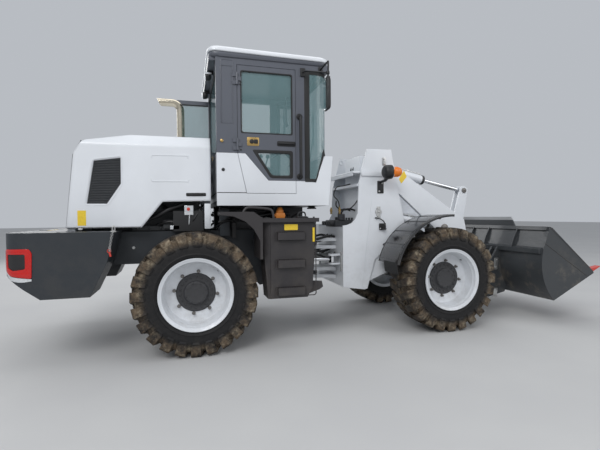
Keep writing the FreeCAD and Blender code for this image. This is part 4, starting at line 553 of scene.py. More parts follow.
def build_hood_trim():
    """Louvres, embossed lines, latches, the rear grille and the blank sticker."""
    slats = Form()
    inner = inset(GRILLE, 6)
    slats.prism(inner, -HOOD_SIDE + 14, -HOOD_SIDE + 17)
    for k in range(27):
        level = 1462 + 16 * k
        span = span_at(inner, level)
        if span:
            x0, x1 = span
            slats.loft([[(x, y, z) for y, z in ((-604, level), (-617, level - 7), (-617, level - 3),
                                                (-604, level + 4))]
                        for x in (x0 + 2, x1 - 2)])
    slats.frame(GRILLE, inner, -HOOD_SIDE + 2, -HOOD_SIDE + 18)
    item = slats.both().done("side_louvres", "rear_frame", LOUVRE, "dark_paint", smooth=False)
    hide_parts("side_grilles")
    lines = Form()
    border = rounded(inset(GRILLE, -20), 40)
    lines.frame(border, inset(border, 7), -HOOD_SIDE - 2.2, -HOOD_SIDE + 3)
    for level, drop in ((1930, -26), (1672, 24)):
        lines.tube([(-1796, -HOOD_SIDE, level + drop), (-1786, -HOOD_SIDE, level), (-1760, -HOOD_SIDE, level),
                    (-1470, -HOOD_SIDE, level + 3), (-1452, -HOOD_SIDE, level),
                    (-1444, -HOOD_SIDE, level + drop)],
                   4.5, 8, 4)
    lines.both().done("hood_embossing", "rear_frame", WHITE, "white_paint", bevel=1)
    latch = Form()
    latch.prism(rounded([(-1470, 1527), (-1275, 1529), (-1275, 1562), (-1470, 1560)], 10),
                -HOOD_SIDE - 5, -HOOD_SIDE + 2)
    latch.loft([[(x, -y, z) for y, z in ((622, 1536), (622, 1553), (622 + w, 1551), (622 + w, 1538))]
                for x, w in ((-1462, 8), (-1440, 18), (-1330, 20), (-1312, 8))])
    latch.turned((-1294, -HOOD_SIDE - 4, 1545), [(0, 14), (6, 13), (9, 9), (9, 0)], RIGHT, 20)
    latch.both().done("hood_latches", "rear_frame", BLACK, "plastic", bevel=2)
    sticker = Form().plate(-2458, -2385, 1243, 1387, 5, -HOOD_SIDE - 1.2, -HOOD_SIDE + 1)
    sticker.done("blank_yellow_sticker", "rear_frame", YELLOW)
    rear = Form()
    rear.prism([(-2552, 1226), (-2574, 1226), (-2505, 1925), (-2432, 2062), (-2412, 2054), (-2482, 1925)],
               -556, 556)
    for k in range(24):
        z = 1262 + k * 27
        x = -2574 + 69 * (z - 1226) / 699
        rear.loft([[(x + 3, y, z), (x - 9, y, z - 8), (x - 9, y, z - 4), (x + 3, y, z + 8)] for y in (-500,
                                                                                                      500)])
    rear.done("rear_grille", "rear_frame", DARK, "dark_paint", bevel=2)
    seam = Form()
    seam.block(-2560, -1900, -HOOD_SIDE - 0.6, -HOOD_SIDE + 4, 1221, 1226)
    seam.both().done("hood_foot_seal", "rear_frame", RUBBER)


def build_exhaust():
    """Polished stack with a swept bend, cut off at a slant, and its rubber collar."""
    x, top, bend, bend_steps, reach = -1518, 2622, 92, 10, -1752
    path = [Vector((x, 0, 2100)), Vector((x, 0, 2300)), Vector((x, 0, top - bend))]
    path += [Vector((x - bend + bend * math.cos(a), 0, top - bend + bend * math.sin(a)))
             for a in (math.pi / 2 * k / bend_steps for k in range(1, bend_steps + 1))]
    rows = []
    turns = circle(32)
    for radius, back in ((42, False), (38.5, True)):
        rings = []
        for i, point in enumerate(path):
            lean = 0 if i < 3 else math.pi / 2 * (i - 2) / bend_steps
            out = Vector((math.cos(lean), 0, math.sin(lean)))
            rings.append([point + (out * math.cos(a) + Vector(LEFT) * math.sin(a)) * radius for a in turns])
        for x0 in (reach + 60, reach):
            slant = 0.55 if x0 == reach else 0
            rings.append([(x0 - slant * radius * math.cos(a), radius * math.sin(a),
                           top + radius * math.cos(a))
                          for a in turns])
        rows += rings[::-1] if back else rings
    item = Form().loft(rows, ends=False).done("exhaust_pipe", "rear_frame", PIPE, "exhaust", angle=50)
    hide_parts("exhaust_stack")
    collar = Form()
    collar.turned((x, 0, 2128), [(0, 66), (6, 66), (10, 60), (14, 47), (22, 46), (22, 42.5)], UP, 32)
    collar.done("exhaust_collar", "rear_frame", RUBBER, "plastic", bevel=1)


def build_engine_bay():
    """What shows under the hood: the white props, hoses, castings, a filler box and bolts on the rails."""
    prop = Form().block(-1292, -1230, -624, -568, 1196, 1452)
    prop.both().done("hood_props", "rear_frame", WHITE, "white_paint", bevel=3)
    hoses = Form()
    for points, radius in (
            ([(-1870, -470, 1300), (-1760, -520, 1330), (-1640, -530, 1395), (-1500, -500, 1450)], 24),
            ([(-1760, -440, 1240), (-1650, -500, 1270), (-1500, -510, 1262), (-1340, -480, 1300)], 15),
            ([(-1700, -430, 1440), (-1560, -520, 1350), (-1400, -530, 1290), (-1260, -430, 1270)], 13),
            ([(-1560, -470, 1230), (-1520, -540, 1330), (-1380, -540, 1370), (-1310, -460, 1440)], 12),
            ([(-1430, -500, 1230), (-1400, -560, 1290), (-1330, -540, 1400)], 9),
            ([(-1180, -470, 1200), (-1100, -520, 1260), (-1000, -500, 1330), (-900, -440, 1400)], 14)):
        hoses.tube(points, radius, 12, 6)
    hoses.both().done("engine_bay_hoses", "rear_frame", HOSE, "plastic")
    block = Form()
    block.block(-2000, -1330, -430, -330, 1180, 1230)
    block.block(-1478, -1414, -504, -330, 1366, 1382)
    block.block(-1700, -1560, -470, -330, 1200, 1290)
    block.rod((-1900, -330, 1290), (-1900, -470, 1290), 55, 24)
    block.rod((-1780, -330, 1400), (-1780, -420, 1400), 70, 24)
    block.rod((-1360, -330, 1330), (-1360, -440, 1330), 48, 24)
    block.bolts(20, -430, [(-1950 + 110 * k, 1205) for k in range(6)])
    block.done("engine_bay_castings", "rear_frame", ENGINE, "cast", bevel=3)
    box = Form()
    box.block(-1490, -1402, -575, -500, 1338, 1434)
    box.rod((-1446, -560, 1240), (-1440, -560, 1340), 6, 10)
    box.block(-1630, -1540, -560, -470, 1192, 1232)
    box.done("filler_box", "rear_frame", CLEAR_LENS, bevel=5)
    dot = Form().turned((-1450, -575, 1398), [(0, 17), (3, 17), (5, 12), (5, 0)], RIGHT, 20)
    dot.done("filler_cap", "rear_frame", RED)
    clips = Form()
    clips.bolts(20, -450, ((-1990, 1010), (-2290, 1010), (-1100, 900)))
    clips.both().done("rail_bolts", "rear_frame", ZINC, "zinc")


def corner_point(along, level, out):
    """A point on the counterweight's rounded rear corner; along runs from the side round to the back."""
    reach, x0, y0 = 200, -2798, 700
    length = reach * math.pi / 2
    if along < 0:
        return x0 - along, -(y0 + reach + out), level
    if along > length:
        return x0 - reach - out, -(y0 - (along - length)), level
    a = along / reach
    return x0 - (reach + out) * math.sin(a), -(y0 + (reach + out) * math.cos(a)), level


def wrapped(corners, count=72):
    """Evenly spaced points along an outline."""
    points = [Vector(c) for c in corners]
    runs = [(points[(i + 1) % len(points)] - points[i]).length for i in range(len(points))]
    total = sum(runs)
    made = []
    for k in range(count):
        left = total * k / count
        i = 0
        while left > runs[i]:
            left -= runs[i]
            i += 1
        made.append(points[i].lerp(points[(i + 1) % len(points)], left / runs[i]))
    return made


def build_tail_lamps():
    """Red frames that wrap round the counterweight's corners, with a dark insert and a pale strip below."""
    outer = rounded([(-50, 1018), (-28, 1054), (190, 1052), (206, 1036), (202, 866), (130, 822), (-44, 798)],
                    14, 3)
    inner = rounded([(2, 1000), (6, 1008), (166, 1008), (164, 892), (104, 868), (2, 882)], 12, 3)
    outer, inner = wrapped(outer), wrapped(inner)
    red = Form().loft([[corner_point(c.x, c.y, out) for c in line] for line, out in
                       ((outer, -2), (outer, 9), (inner, 9), (inner, -2))], closed=True)
    item = red.both().done("tail_lamp_frames", "rear_frame", RED_LENS, "red_paint", bevel=2, angle=40)
    middle = sum(inner, Vector((0, 0))) / len(inner)
    dark = Form()
    dark.loft([[corner_point(*(middle + (c - middle) * share), out) for c in inner]
               for share, out in ((1.0, -1), (1.0, 3), (0.9, 5), (0.5, 5), (0.05, 5))])
    dark.both().done("tail_lamp_inserts", "rear_frame", BLACK, "lamp_black")
    rings = []
    for share in (k / 23 for k in range(24)):
        along = -44 + 246 * share
        high = 794 + (along + 44) * 0.135 if along < 130 else 817 + (along - 130) * 0.6
        low = high - 34 * math.sin(math.pi * (0.12 + 0.8 * share)) - 3
        rings.append([corner_point(along, level, out) for level,
                      out in ((high, 0), (high, 5), (low, 5), (low, 0))])
    strip = Form().loft(rings)
    strip.both().done("tail_lamp_strips", "rear_frame", CLEAR_LENS)
    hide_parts("rear_lamps")


def build_rear_work_lamps():
    """Work lamps at the cab's rear, the right one with a white shade."""
    work = Form()
    work.turned((-1254, -350, 2832), [(0, 34), (4, 42), (40, 44), (56, 32), (62, 16), (62, 0)], (1, 0, 0.12),
                28)
    work.block(-1225, -1165, -362, -338, 2860, 2900)
    work.both().done("rear_work_lamps", "rear_frame", BLACK, "lamp_black", bevel=1.5)
    shade = Form()
    shade.loft([[(x, -350 + r * math.sin(a), 2834 + r * math.cos(a)) for r, a in
                 [(47, -1.2 + 0.3 * k) for k in range(9)] + [(44, 1.2 - 0.3 * k) for k in range(9)]]
                for x in (-1268, -1190)])
    shade.done("rear_work_lamp_shade", "rear_frame", WHITE, "white_paint")
    lens = Form()
    lens.turned((-1256, -350, 2831), [(-4, 0), (-4, 28), (0, 36), (3, 36), (3, 0)], (1, 0, 0.12), 28)
    lens.both().done("rear_work_lenses", "rear_frame", CLEAR_LENS)


def build_ballast_trim():
    """The hanging chain with its red pin, a yellow edge mark and the joint lines of the counterweight."""
    chain = Form()
    path = smooth_path([Vector(q) for q in ((-2105, -908, 1198), (-2118, -914, 1150), (-2128, -914, 1090),
                                            (-2136, -914, 1040), (-2132, -914, 1012))], 4)
    for i, (here, there) in enumerate(zip(path, path[1:])):
        run = (there - here).normalized()
        chain.hoop(here, 9, 2.6, Vector(LEFT) if i % 2 else run.cross(Vector(LEFT)), 12, 6)
    eye = [(-2112, -902, 1188), (-2112, -902, 1222), (-2104, -902, 1240), (-2092, -902, 1232),
           (-2092, -902, 1196)]
    chain.tube(eye, 6, 8, 4)
    chain.block(-2125, -2080, -915, -890, 1188, 1196)
    chain.done("pin_chain", "rear_frame", ZINC, "zinc")
    pin = Form()
    pin.rod((-2140, -914, 1012), (-2128, -914, 968), 9, 14)
    pin.hoop((-2141, -914, 1018), 14, 3.5, LEFT, 20, 8)
    pin.done("tow_pin_keeper", "rear_frame", RED)
    mark = Form().block(-2850, -2822, -140, 160, 1189.5, 1191.5)
    mark.done("yellow_edge_mark", "rear_frame", YELLOW)
    lines = Form()
    lines.block(-2565, -2560, -899, -480, 1189, 1192)
    lines.block(-2565, -2200, -470, -466, 1189, 1192)
    lines.both().done("ballast_joint", "rear_frame", RUBBER)


# Cab and steps ---------------------------------------------------------------------------------------

def glass_plan():
    """The windscreen seen from above, from its right edge round the front to its left edge."""
    corner = [(-120 + 150 * math.sin(a), -550 - 150 * math.cos(a))
              for a in (math.pi / 2 * k / 10 for k in range(1, 11))]
    half = [(-240, -CAB_SIDE), (-180, -CAB_SIDE), (-120, -CAB_SIDE)] + corner
    return half + [(x, -y) for x, y in reversed(half)]


def band(form, line, thick, lift=0.0):
    """A strip along points (x, y, low, high), standing out from them."""
    rings = []
    for i, (x, y, low, high) in enumerate(line):
        after, before = line[min(i + 1, len(line) - 1)], line[max(i - 1, 0)]
        run = Vector((after[0] - before[0], after[1] - before[1]))
        out = Vector((run.y, -run.x)).normalized()
        rings.append([(x + out.x * o, y + out.y * o, z)
                      for o, z in ((lift, low), (lift + thick, low), (lift + thick, high), (lift, high))])
    form.loft(rings)


def build_roof():
    """A smooth moulded cap with a soft edge and three low ribs, over a slate band, and the antenna's nub."""
    plan = oblong(-1250, 40, -735, 735)

    def rise(x):
        return 14 * (40 - x) / 1290

    steps = ((2966, 26), (2962, 8), (2966, 1), (2976, 0), (2992, 2), (3006, 9), (3016, 22), (3023, 42),
             (3026.5, 80), (3028, 150))
    cap = Form()
    cap.loft([[(x, y, z + rise(x)) for x, y in rounded(inset(plan, gap), 110 - gap * 0.2, 8)]
              for z, gap in steps])
    for y in (-300, 0, 300):
        cap.loft([[(x, y + w * s, z + rise(x))
                   for s, z in ((-1, 3020), (-0.7, 3029 + h), (0.7, 3029 + h), (1, 3020))]
                  for x, w, h in ((-1090, 10, -7), (-1060, 26, 2), (-160, 26, 2), (-130, 10, -7))])
    item = cap.done("roof_cap", "rear_frame", WHITE, "white_paint", angle=60)
    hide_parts("cab_roof")
    seal = Form()
    seal.loft([[(x, y, z) for x, y in rounded(inset(plan, gap), 100, 8)]
               for z, gap in ((2927, 60), (2929, 24), (2944, 14), (2968, 12), (2976, 16))])
    seal.done("roof_seal", "rear_frame", SLATE, "slate_paint", angle=50)
    nub = Form().turned((-560, -230, 3024), [(0, 20), (5, 20), (9, 12), (22, 9), (24, 0)], UP, 20)
    nub.done("roof_nub", "rear_frame", BLACK)


def build_cab_trim():
    """Seals, seams, the wiper and the small fittings on the cab's outside."""
    plan = glass_plan()
    seals = Form()
    band(seals, [(x, y, 2828, 2868) for x, y in plan], 4, -1)
    sill = [(x, y, 1955, 2050 - min(70, max(0, 2 * (x + 18)))) for x, y in plan if x > -20]
    half = []
    for k in range(9):
        x = -119 + 101 * k / 8
        y = -550 - math.sqrt(150 ** 2 - max(0.0, x + 120) ** 2)
        level = 1690 + 275 * k / 8
        half.append((x, y, level - 12, level + 26 + 60 * k / 8))
    low = [(-240, -CAB_SIDE, 1682, 1716), (-150, -CAB_SIDE, 1682, 1716)]
    line = low + half + [p for p in sill if p[1] < 0]
    band(seals, line + [(x, -y, a, b) for x, y, a, b in reversed(line)], 5, -1)
    for hand in (1, -1):
        seals.prism(oblong(-243, -186, 1690, 2866), hand * (CAB_SIDE - 8), hand * (CAB_SIDE + 3.5))
    rear = oblong(-650, 650, 1965, 2865)
    seals.frame(rounded(inset(rear, -8), 60), rounded(inset(rear, 16), 60), -1158, -1148, "YZ")
    seals.done("cab_glass_seals", "rear_frame", RUBBER, bevel=1.5)
    lines = Form()
    lines.block(-1168, -872, -CAB_SIDE - 0.8, -CAB_SIDE + 4, 1558, 1566)
    lines.block(-1171.5, -1166, -640, 640, 1558, 1566)
    lines.both().done("cab_seams", "rear_frame", RUBBER, bevel=1)
    press = Form()
    press.frame(rounded(oblong(-1122, -992, 2264, 2908), 22),
                rounded(oblong(-1114, -1000, 2272, 2900), 16), -CAB_SIDE - 3, -CAB_SIDE + 6)
    press.both().done("post_pressing", "rear_frame", SLATE, "slate_paint", bevel=1.4)
    dots = Form()
    dots.turned((-1105, -CAB_SIDE, 1795), [(0, 17), (4, 17), (6, 12), (6, 0)], RIGHT, 20)
    dots.both().done("cab_side_plugs", "rear_frame", BLACK)
    nut = Form().bolt((-1116, -CAB_SIDE - 1, 2086), RIGHT, 22)
    nut.both().done("cab_side_nuts", "rear_frame", BRASS, bevel=1)
    wiper = Form()
    wiper.turned((31, 60, 2000), [(0, 30), (18, 28), (26, 16), (26, 0)], AHEAD, 20)
    wiper.tube([(52, 60, 2000), (54, 20, 2120), (48, -120, 2330)], 7, 8, 5)
    wiper.block(36, 50, -126, -114, 2180, 2560)
    wiper.prism([(-124, 2150), (-116, 2150), (-114, 2600), (-126, 2600)], 32, 38, "YZ")
    wiper.done("front_wiper", "rear_frame", BLACK, bevel=1)
    handles = Form()
    handles.tube([(-300, -700, 1738), (-300, -735, 1746), (-300, -752, 1790), (-300, -752, 2050),
                  (-300, -752, 2320), (-300, -735, 2364), (-300, -700, 2372)], 16, 14, 6)
    for z in (1738, 2372):
        handles.turned((-300, -700, z), [(0, 34), (5, 34), (10, 27), (16, 22), (16, 16)], RIGHT, 28)
    item = handles.both().done("cab_grab_rails", "rear_frame", BLACK, "plastic", angle=50)
    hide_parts("grab_handles")


def build_door_trim():
    """Window seals, the lock, the handles and the hinge bolts of both doors."""
    for side in ("right", "left"):
        seal = Form()
        for line, round_out, wide in ((WINDOW, 26, 8), (LOWER_LIGHT, 26, 26)):
            seal.frame(rounded(inset(line, -5), round_out), rounded(inset(line, wide), round_out), -701.5,
                       -678)
        lock = Form().plate(-860, -737, 2046, 2134, 10, -704, -699)
        latch = Form()
        latch.turned((-812, -704, 2090), [(0, 24), (5, 23), (8, 16), (8, 0)], RIGHT, 24)
        latch.plate(-790, -748, 2068, 2112, 8, -710, -703)
        latch.plate(-545, -345, 2052, 2106, 16, -703, -699)
        latch.tube([(-528, -700, 2079), (-522, -716, 2079), (-490, -720, 2079), (-400, -720, 2079),
                    (-368, -716, 2079), (-362, -700, 2079)], 9, 10, 5)
        latch.tube([(-420, -672, 2290), (-430, -650, 2290), (-430, -650, 2560), (-420, -672, 2560)], 9, 10, 4)
        latch.bolts(13, -CAB_SIDE, [(-925, hinge + z) for hinge in (2035, 2700) for z in (-34, 34)])
        for form, name, material, slot in ((seal, "door_glass_seals_", RUBBER, None),
                                           (lock, "door_lock_plate_", BRASS, None),
                                           (latch, "door_handles_", BLACK, "plastic")):
            if side == "left":
                form.swung()
            form.done(name + side, "door_" + side, material, slot, bevel=1.5)


def build_mirrors():
    """Mirrors in dark cases, on two bent tubes each."""
    arms = Form()
    arms.tube([(-60, -700, 2888), (-60, -800, 2890), (-60, -925, 2890), (-62, -955, 2868), (-66, -955, 2700)],
              10, 10, 5)
    arms.tube([(-258, -712, 2843), (-250, -820, 2818), (-170, -915, 2786), (-70, -953, 2772)], 8, 10, 5)
    arms.block(-285, -235, -716, -700, 2800, 2886)
    arms.block(-84, -36, -708, -698, 2862, 2916)
    arms.block(-80, -48, -972, -938, 2700, 2735)
    arms.turned((-66, -955, 2772), [(-14, 18), (14, 18)], UP, 16)
    face = oblong(-1030, -880, 2390, 2720)
    arms.loft([[(x, y, z) for y, z in rounded(inset(face, gap), 34)]
               for x, gap in ((-90, 6), (-90, 1), (-84, 0), (-70, 2), (-58, 14), (-51, 36), (-49, 60))])
    item = arms.both().done("outside_mirrors", "rear_frame", BLACK, "plastic", bevel=1)
    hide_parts("mirrors")
    glass = Form().prism(rounded(inset(face, 9), 28), -92, -89.5, "YZ")
    glass.both().done("mirror_faces", "rear_frame", MIRROR)


def swell(form, name):
    """A stuffed pad: remeshed, blown up as cloth with its movement capped, and subdivided."""
    bmesh.ops.recalc_face_normals(form.bm, faces=form.bm.faces[:])
    item = form.made(name)
    scene = bpy.context.scene

    def outcome():
        return bpy.data.meshes.new_from_object(item.evaluated_get(bpy.context.evaluated_depsgraph_get()))

    def applied(kind, **values):
        modifier = item.modifiers.new(kind.lower(), kind)
        for key, value in values.items():
            setattr(modifier, key, value)
        result = outcome()
        item.modifiers.remove(modifier)
        item.data = result

    applied("REMESH", mode="VOXEL", voxel_size=PAD_VOXEL)
    start = [v.co.copy() for v in item.data.vertices]
    floor = min(v.z for v in start) + 0.02
    item.vertex_groups.new(name="resting").add([i for i, v in enumerate(start) if v.z < floor], 1.0,
                                               "REPLACE")
    cloth = item.modifiers.new("cloth", "CLOTH")
    cloth.settings.use_pressure = True
    cloth.settings.uniform_pressure_force = PAD_PRESSURE
    cloth.settings.vertex_group_mass = "resting"
    cloth.settings.effector_weights.gravity = 0
    for step in range(1, PAD_FRAMES + 1):
        scene.frame_set(step)
    blown = outcome()
    item.modifiers.remove(cloth)
    scene.frame_set(1)
    for v, old in zip(blown.vertices, start):
        move = v.co - old
        if move.length > PAD_SWELL * MM:
            v.co = old + move.normalized() * PAD_SWELL * MM
    item.data = blown
    applied("SUBSURF", levels=1, render_levels=1)
    item.vertex_groups.clear()
    item.data.materials.clear()
    item.data.materials.append(FABRIC)
    item.data.polygons.foreach_set("use_smooth", [True] * len(item.data.polygons))
    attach(item, "rear_frame")


def build_seat():
    """A sprung seat: plinth, bellows, pan, arm rest, and stuffed cushion and back."""
    base = Form()
    base.block(-810, -490, -190, 190, 1480, 1530)
    bellows = [rounded(oblong(-790 + gap, -510 - gap, -170 + gap, 170 - gap), 40) for gap in (0, 16)]
    base.loft([[(x, y, 1530 + 20 * k) for x, y in bellows[k % 2]] for k in range(11)])
    base.block(-850, -440, -215, 215, 1728, 1800)
    base.prism([(-880, 1790), (-900, 1790), (-1000, 2380), (-975, 2380)], -180, 180)
    for hand in (1, -1):
        base.plate(-890, -620, 2080, 2125, 18, hand * 238, hand * 285)
    item = base.done("seat_base", "rear_frame", BLACK, "plastic", bevel=6)
    cushion = Form()
    plan = oblong(-868, -434, -236, 236)
    cushion.loft([[(x, y, z) for x, y in rounded(inset(plan, gap), 70, 8)]
                  for z, gap in ((1802, 10), (1812, 2), (1850, 4), (1876, 18), (1886, 60), (1890, 120))])
    swell(cushion, "seat_cushion")
    back = Form()
    rings = []
    for s, half, thick in ((0, 205, 46), (0.03, 214, 52), (0.3, 218, 54), (0.6, 212, 50), (0.85, 196, 44),
                           (0.95, 176, 38), (0.99, 140, 26), (1.0, 90, 14)):
        x, z = -838 - 92 * s, 1906 + 586 * s
        ring = []
        for a in circle(40):
            c, d = math.cos(a), math.sin(a)
            y = half * math.copysign(abs(d) ** 0.45, d)
            reach = thick * math.copysign(abs(c) ** 0.45, c)
            if reach > 0:
                reach += 16 * (abs(y) / half) ** 3 - 12 * (1 - (y / half) ** 2)
            ring.append((x + reach, y, z))
        rings.append(ring)
    back.loft(rings)
    swell(back, "seat_back")
    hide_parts("operator_seat")


def build_console():
    """Instrument column, steering wheel, pedals and the lever box beside the seat."""
    box = Form()
    box.loft([[(x, y, z) for x, y in oblong(x0, x1, -w, w)] for z, x0, x1, w in
              ((1480, -196, -62, 130), (1500, -190, -62, 124), (1880, -176, -56, 132),
               (1960, -186, -50, 168))])
    box.prism([(-212, 1950), (-186, 2040), (-96, 2092), (-50, 2086), (-46, 1950)], -172, 172)
    box.rod((-150, 0, 1960), (-286, 0, 2112), 26, 24, 21)
    box.block(-330, -210, -130, -60, 1482, 1492)
    for low, high in ((-125, -65), (65, 125)):
        box.prism([(-330, 1490), (-318, 1484), (-240, 1560), (-250, 1568)], low, high)
    box.block(-800, -500, -420, -300, 1480, 1790)
    for x in (-610, -690):
        box.tube([(x, -360, 1780), (x + 6, -360, 1880), (x + 30, -360, 1970)], 8, 10, 4)
        box.ball((x + 32, -360, 1990), 24)
    item = box.done("console_and_levers", "rear_frame", BLACK, "plastic", bevel=5, angle=30)
    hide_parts("dashboard")
    wheel = Form()
    tilt = math.radians(35)
    axis = Vector((-math.sin(tilt), 0, math.cos(tilt)))
    hub = Vector((-300, 0, 2130))
    wheel.hoop(hub, 172, 13, axis, 72, 14)
    wheel.turned(hub - axis * 34, [(0, 24), (10, 40), (26, 44), (34, 40), (40, 22), (40, 0)], axis, 32)
    side = axis.orthogonal().normalized()
    for a in circle(3, 0.5):
        out = side * math.cos(a) + axis.cross(side) * math.sin(a)
        wheel.tube([hub - axis * 14 + out * 34, hub - axis * 12 + out * 90, hub + out * 166], 9, 10, 4)
    wheel.done("steering_wheel", "rear_frame", BLACK, "plastic", angle=60)
    dials = Form()
    lean = Vector((-0.87, 0, 0.5)).normalized()
    for y in (-110, -38, 38, 110):
        dials.turned((-141, y, 2066), [(-4, 30), (3, 30), (5, 26), (2, 24), (2, 0)], lean, 28)
    dials.done("console_dials", "rear_frame", CLEAR_LENS)


def build_steps_trim():
    """Serrated treads, pressed borders, the grab tube, reflectors and the fittings on the step box."""
    grip = Form()
    for low in (534, 808, 1082):
        for k in range(15):
            x = -606 + 18.5 * k
            grip.loft([[(x, y, low + 73), (x + 9, y, low + 73), (x + 6.5, y, low + 79),
                        (x + 2.5, y, low + 79)]
                       for y in (-1003, -STEP_SIDE)])
    for low, high in ((520, 622), (794, 896), (1068, 1170)):
        outer = rounded([(-642, low), (-312, low), (-312, high), (-642, high)], 18)
        grip.frame(outer, inset(outer, 9), -STEP_SIDE - 5, -STEP_SIDE)
    outer = rounded(oblong(-694, -206, 512, 1248), 30)
    grip.frame(outer, inset(outer, 10), -STEP_SIDE - 4.5, -STEP_SIDE)
    grip.tube([(-952, -985, 1285), (-948, -985, 1350), (-921, -985, 1394), (-863, -985, 1404),
               (-707, -985, 1390), (-664, -985, 1362), (-652, -985, 1296)], 12, 12, 6)
    grip.both().done("step_grips", "rear_frame", TAUPE, "taupe_plate", bevel=1)
    marks = Form()
    marks.plate(-538, -400, 1178, 1236, 5, -STEP_SIDE - 7, -STEP_SIDE - 1)
    marks.prism(oblong(-244, -224, 1058, 1200), -STEP_SIDE - 7, -STEP_SIDE - 1)
    marks.both().done("step_reflectors", "rear_frame", YELLOW)
    latch = Form()
    latch.block(-392, -292, -925, -875, 1297, 1316)
    latch.tube([(-380, -900, 1312), (-376, -900, 1340), (-350, -900, 1356), (-310, -900, 1352),
                (-300, -900, 1318)], 8, 10, 4)
    latch.block(-700, -640, -760, -700, 1297, 1306)
    for x in (-720, -230):
        for y in (-960, -740):
            latch.bolt((x, y, 1298), UP, 16)
    latch.both().done("step_top_latches", "rear_frame", BLACK, bevel=2)


def build_tank():
    """What fills the space under the cab: tank, valve blocks, brake booster, hoses and the cab's mounts."""
    tank = Form()
    tank.block(-1150, -300, -430, 430, 1168, 1186)
    tank.block(-1080, -640, -420, 420, 1186, 1426)
    tank.block(-600, -330, -400, 400, 1186, 1300)
    tank.block(-560, -165, -330, 330, 1230, 1422)
    tank.block(-300, -165, -300, 300, 1150, 1232)
    for k in range(6):
        y = -360 + 144 * k
        tank.rod((-600, y, 1340), (-340, y, 1340), 22, 16)
        tank.rod((-500, y, 1296), (-500, y, 1350), 16, 12)
    for x in (-980, -760):
        tank.turned((x, -420, 1330), [(0, 48), (8, 48), (12, 40), (12, 0)], RIGHT, 24)
    tank.done("hydraulic_tank_and_valves", "rear_frame", CAST, "cast", bevel=5)
    pump = Form()
    pump.block(-548, -452, -640, -560, 1296, 1352)
    pump.turned((-500, -600, 1350), [(0, 40), (30, 40), (44, 30), (60, 26), (66, 14), (66, 0)], UP, 24)
    pump.rod((-560, -600, 1325), (-440, -600, 1325), 16, 14)
    pump.done("brake_booster", "rear_frame", AMBER_PAINT, bevel=3)
    pipes = Form()
    for y, z in ((-500, 1330), (-470, 1372), (-520, 1260)):
        pipes.tube([(-1150, y, z), (-960, y - 20, z + 18), (-760, y, z - 12), (-560, y - 10, z + 12),
                    (-400, y + 40, z - 20), (-330, y + 120, z - 40)], 12, 10, 5)
    pipes.tube([(-340, -470, 1300), (-270, -520, 1340), (-230, -500, 1260), (-250, -420, 1180)], 11, 10, 5)
    pipes.both().done("under_cab_hoses", "rear_frame", HOSE, "plastic")
    mounts = Form()
    for x in (-1080, -120):
        mounts.turned((x, -540, 1396), [(0, 52), (12, 52), (16, 40), (22, 36), (26, 44), (34, 44), (34, 0)],
                      UP, 24)
    mounts.both().done("cab_mounts", "rear_frame", RUBBER, "plastic")


# Steering joint and front half -----------------------------------------------------------------------

def build_joint_hoses():
    """Hoses that cross the steering joint, and their steel ends on the front frame."""
    lines = (
        [(-420, -180, 1090), (-250, -170, 1075), (-60, -165, 1030), (80, -168, 1040), (221, -172, 1070),
         (340, -170, 1055), (430, -160, 1120)],
        [(-420, -210, 1000), (-250, -200, 960), (-80, -190, 880), (90, -186, 838), (200, -186, 800),
         (300, -184, 870), (360, -180, 960), (420, -170, 1060)],
        [(-420, -130, 1040), (-220, -130, 980), (-20, -128, 905), (140, -128, 880), (280, -130, 930),
         (380, -130, 1020)],
        [(-420, -60, 1095), (-220, -70, 1065), (0, -75, 1000), (160, -75, 1010), (300, -80, 1080),
         (400, -80, 1140)],
        [(-420, -100, 940), (-220, -110, 880), (-60, -110, 815), (80, -108, 790), (219, -110, 770),
         (330, -112, 850)])
    hoses = Form()
    for points, radius in zip(lines, (15, 13, 15, 12, 11)):
        hoses.tube(points, radius, 12, 10)
    item = hoses.both().done("steering_joint_hoses", None, HOSE, "plastic")
    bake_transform(item)
    ends = Form()
    for points in lines:
        a, b = Vector(points[-2]), Vector(points[-1])
        run = (b - a).normalized()
        ends.rod(b - run * 34, b + run * 6, 20, 14)
        ends.rod(b + run * 4, b + run * 22, 23, 6)
    ends.both().done("hose_ends_front", "front_frame", ZINC, "zinc", bevel=1)


def build_valve():
    """The loader's valve block with its fittings and hoses."""
    block = Form()
    block.block(300, 610, -180, 180, 1178, 1262)
    for k in range(4):
        y = -132 + 88 * k
        block.rod((300, y, 1224), (238, y, 1224), 26, 18)
        block.rod((610, y, 1224), (640, y, 1224), 26, 18)
        block.rod((430, y, 1260), (430, y, 1300), 17, 6)
        block.rod((540, y, 1260), (540, y, 1292), 15, 6)
    block.block(340, 420, -200, -160, 1262, 1338)
    block.done("loader_valve", "front_frame", ENGINE, "cast", bevel=4)
    brass = Form()
    for y in (-150, 150):
        brass.rod((368, y, 1338), (368, y, 1372), 13, 12)
        brass.loft([brass.ring((368, y, z), 18, UP, 6) for z in (1372, 1404)])
        brass.rod((368, y, 1404), (368, y, 1428), 10, 12)
    brass.done("brass_fittings", "front_frame", BRASS, bevel=1)
    hoses = Form()
    hoses.tube([(368, -150, 1424), (350, -150, 1500), (296, -150, 1563), (306, -152, 1630), (336, -160, 1675),
                (420, -170, 1690), (500, -180, 1712)], 7, 10, 6)
    hoses.tube([(336, -120, 1500), (335, -125, 1439), (380, -140, 1398), (441, -150, 1389), (500, -150, 1402),
                (536, -150, 1426), (590, -150, 1480), (619, -150, 1539), (612, -150, 1640)], 8, 10, 6)
    for y in (-44, 44):
        hoses.tube([(430, y, 1296), (434, y, 1350), (470, y, 1392), (560, y * 1.6, 1400), (700, y * 2, 1340)],
                   11, 10, 6)
    hoses.done("front_frame_hoses", "front_frame", HOSE, "plastic")


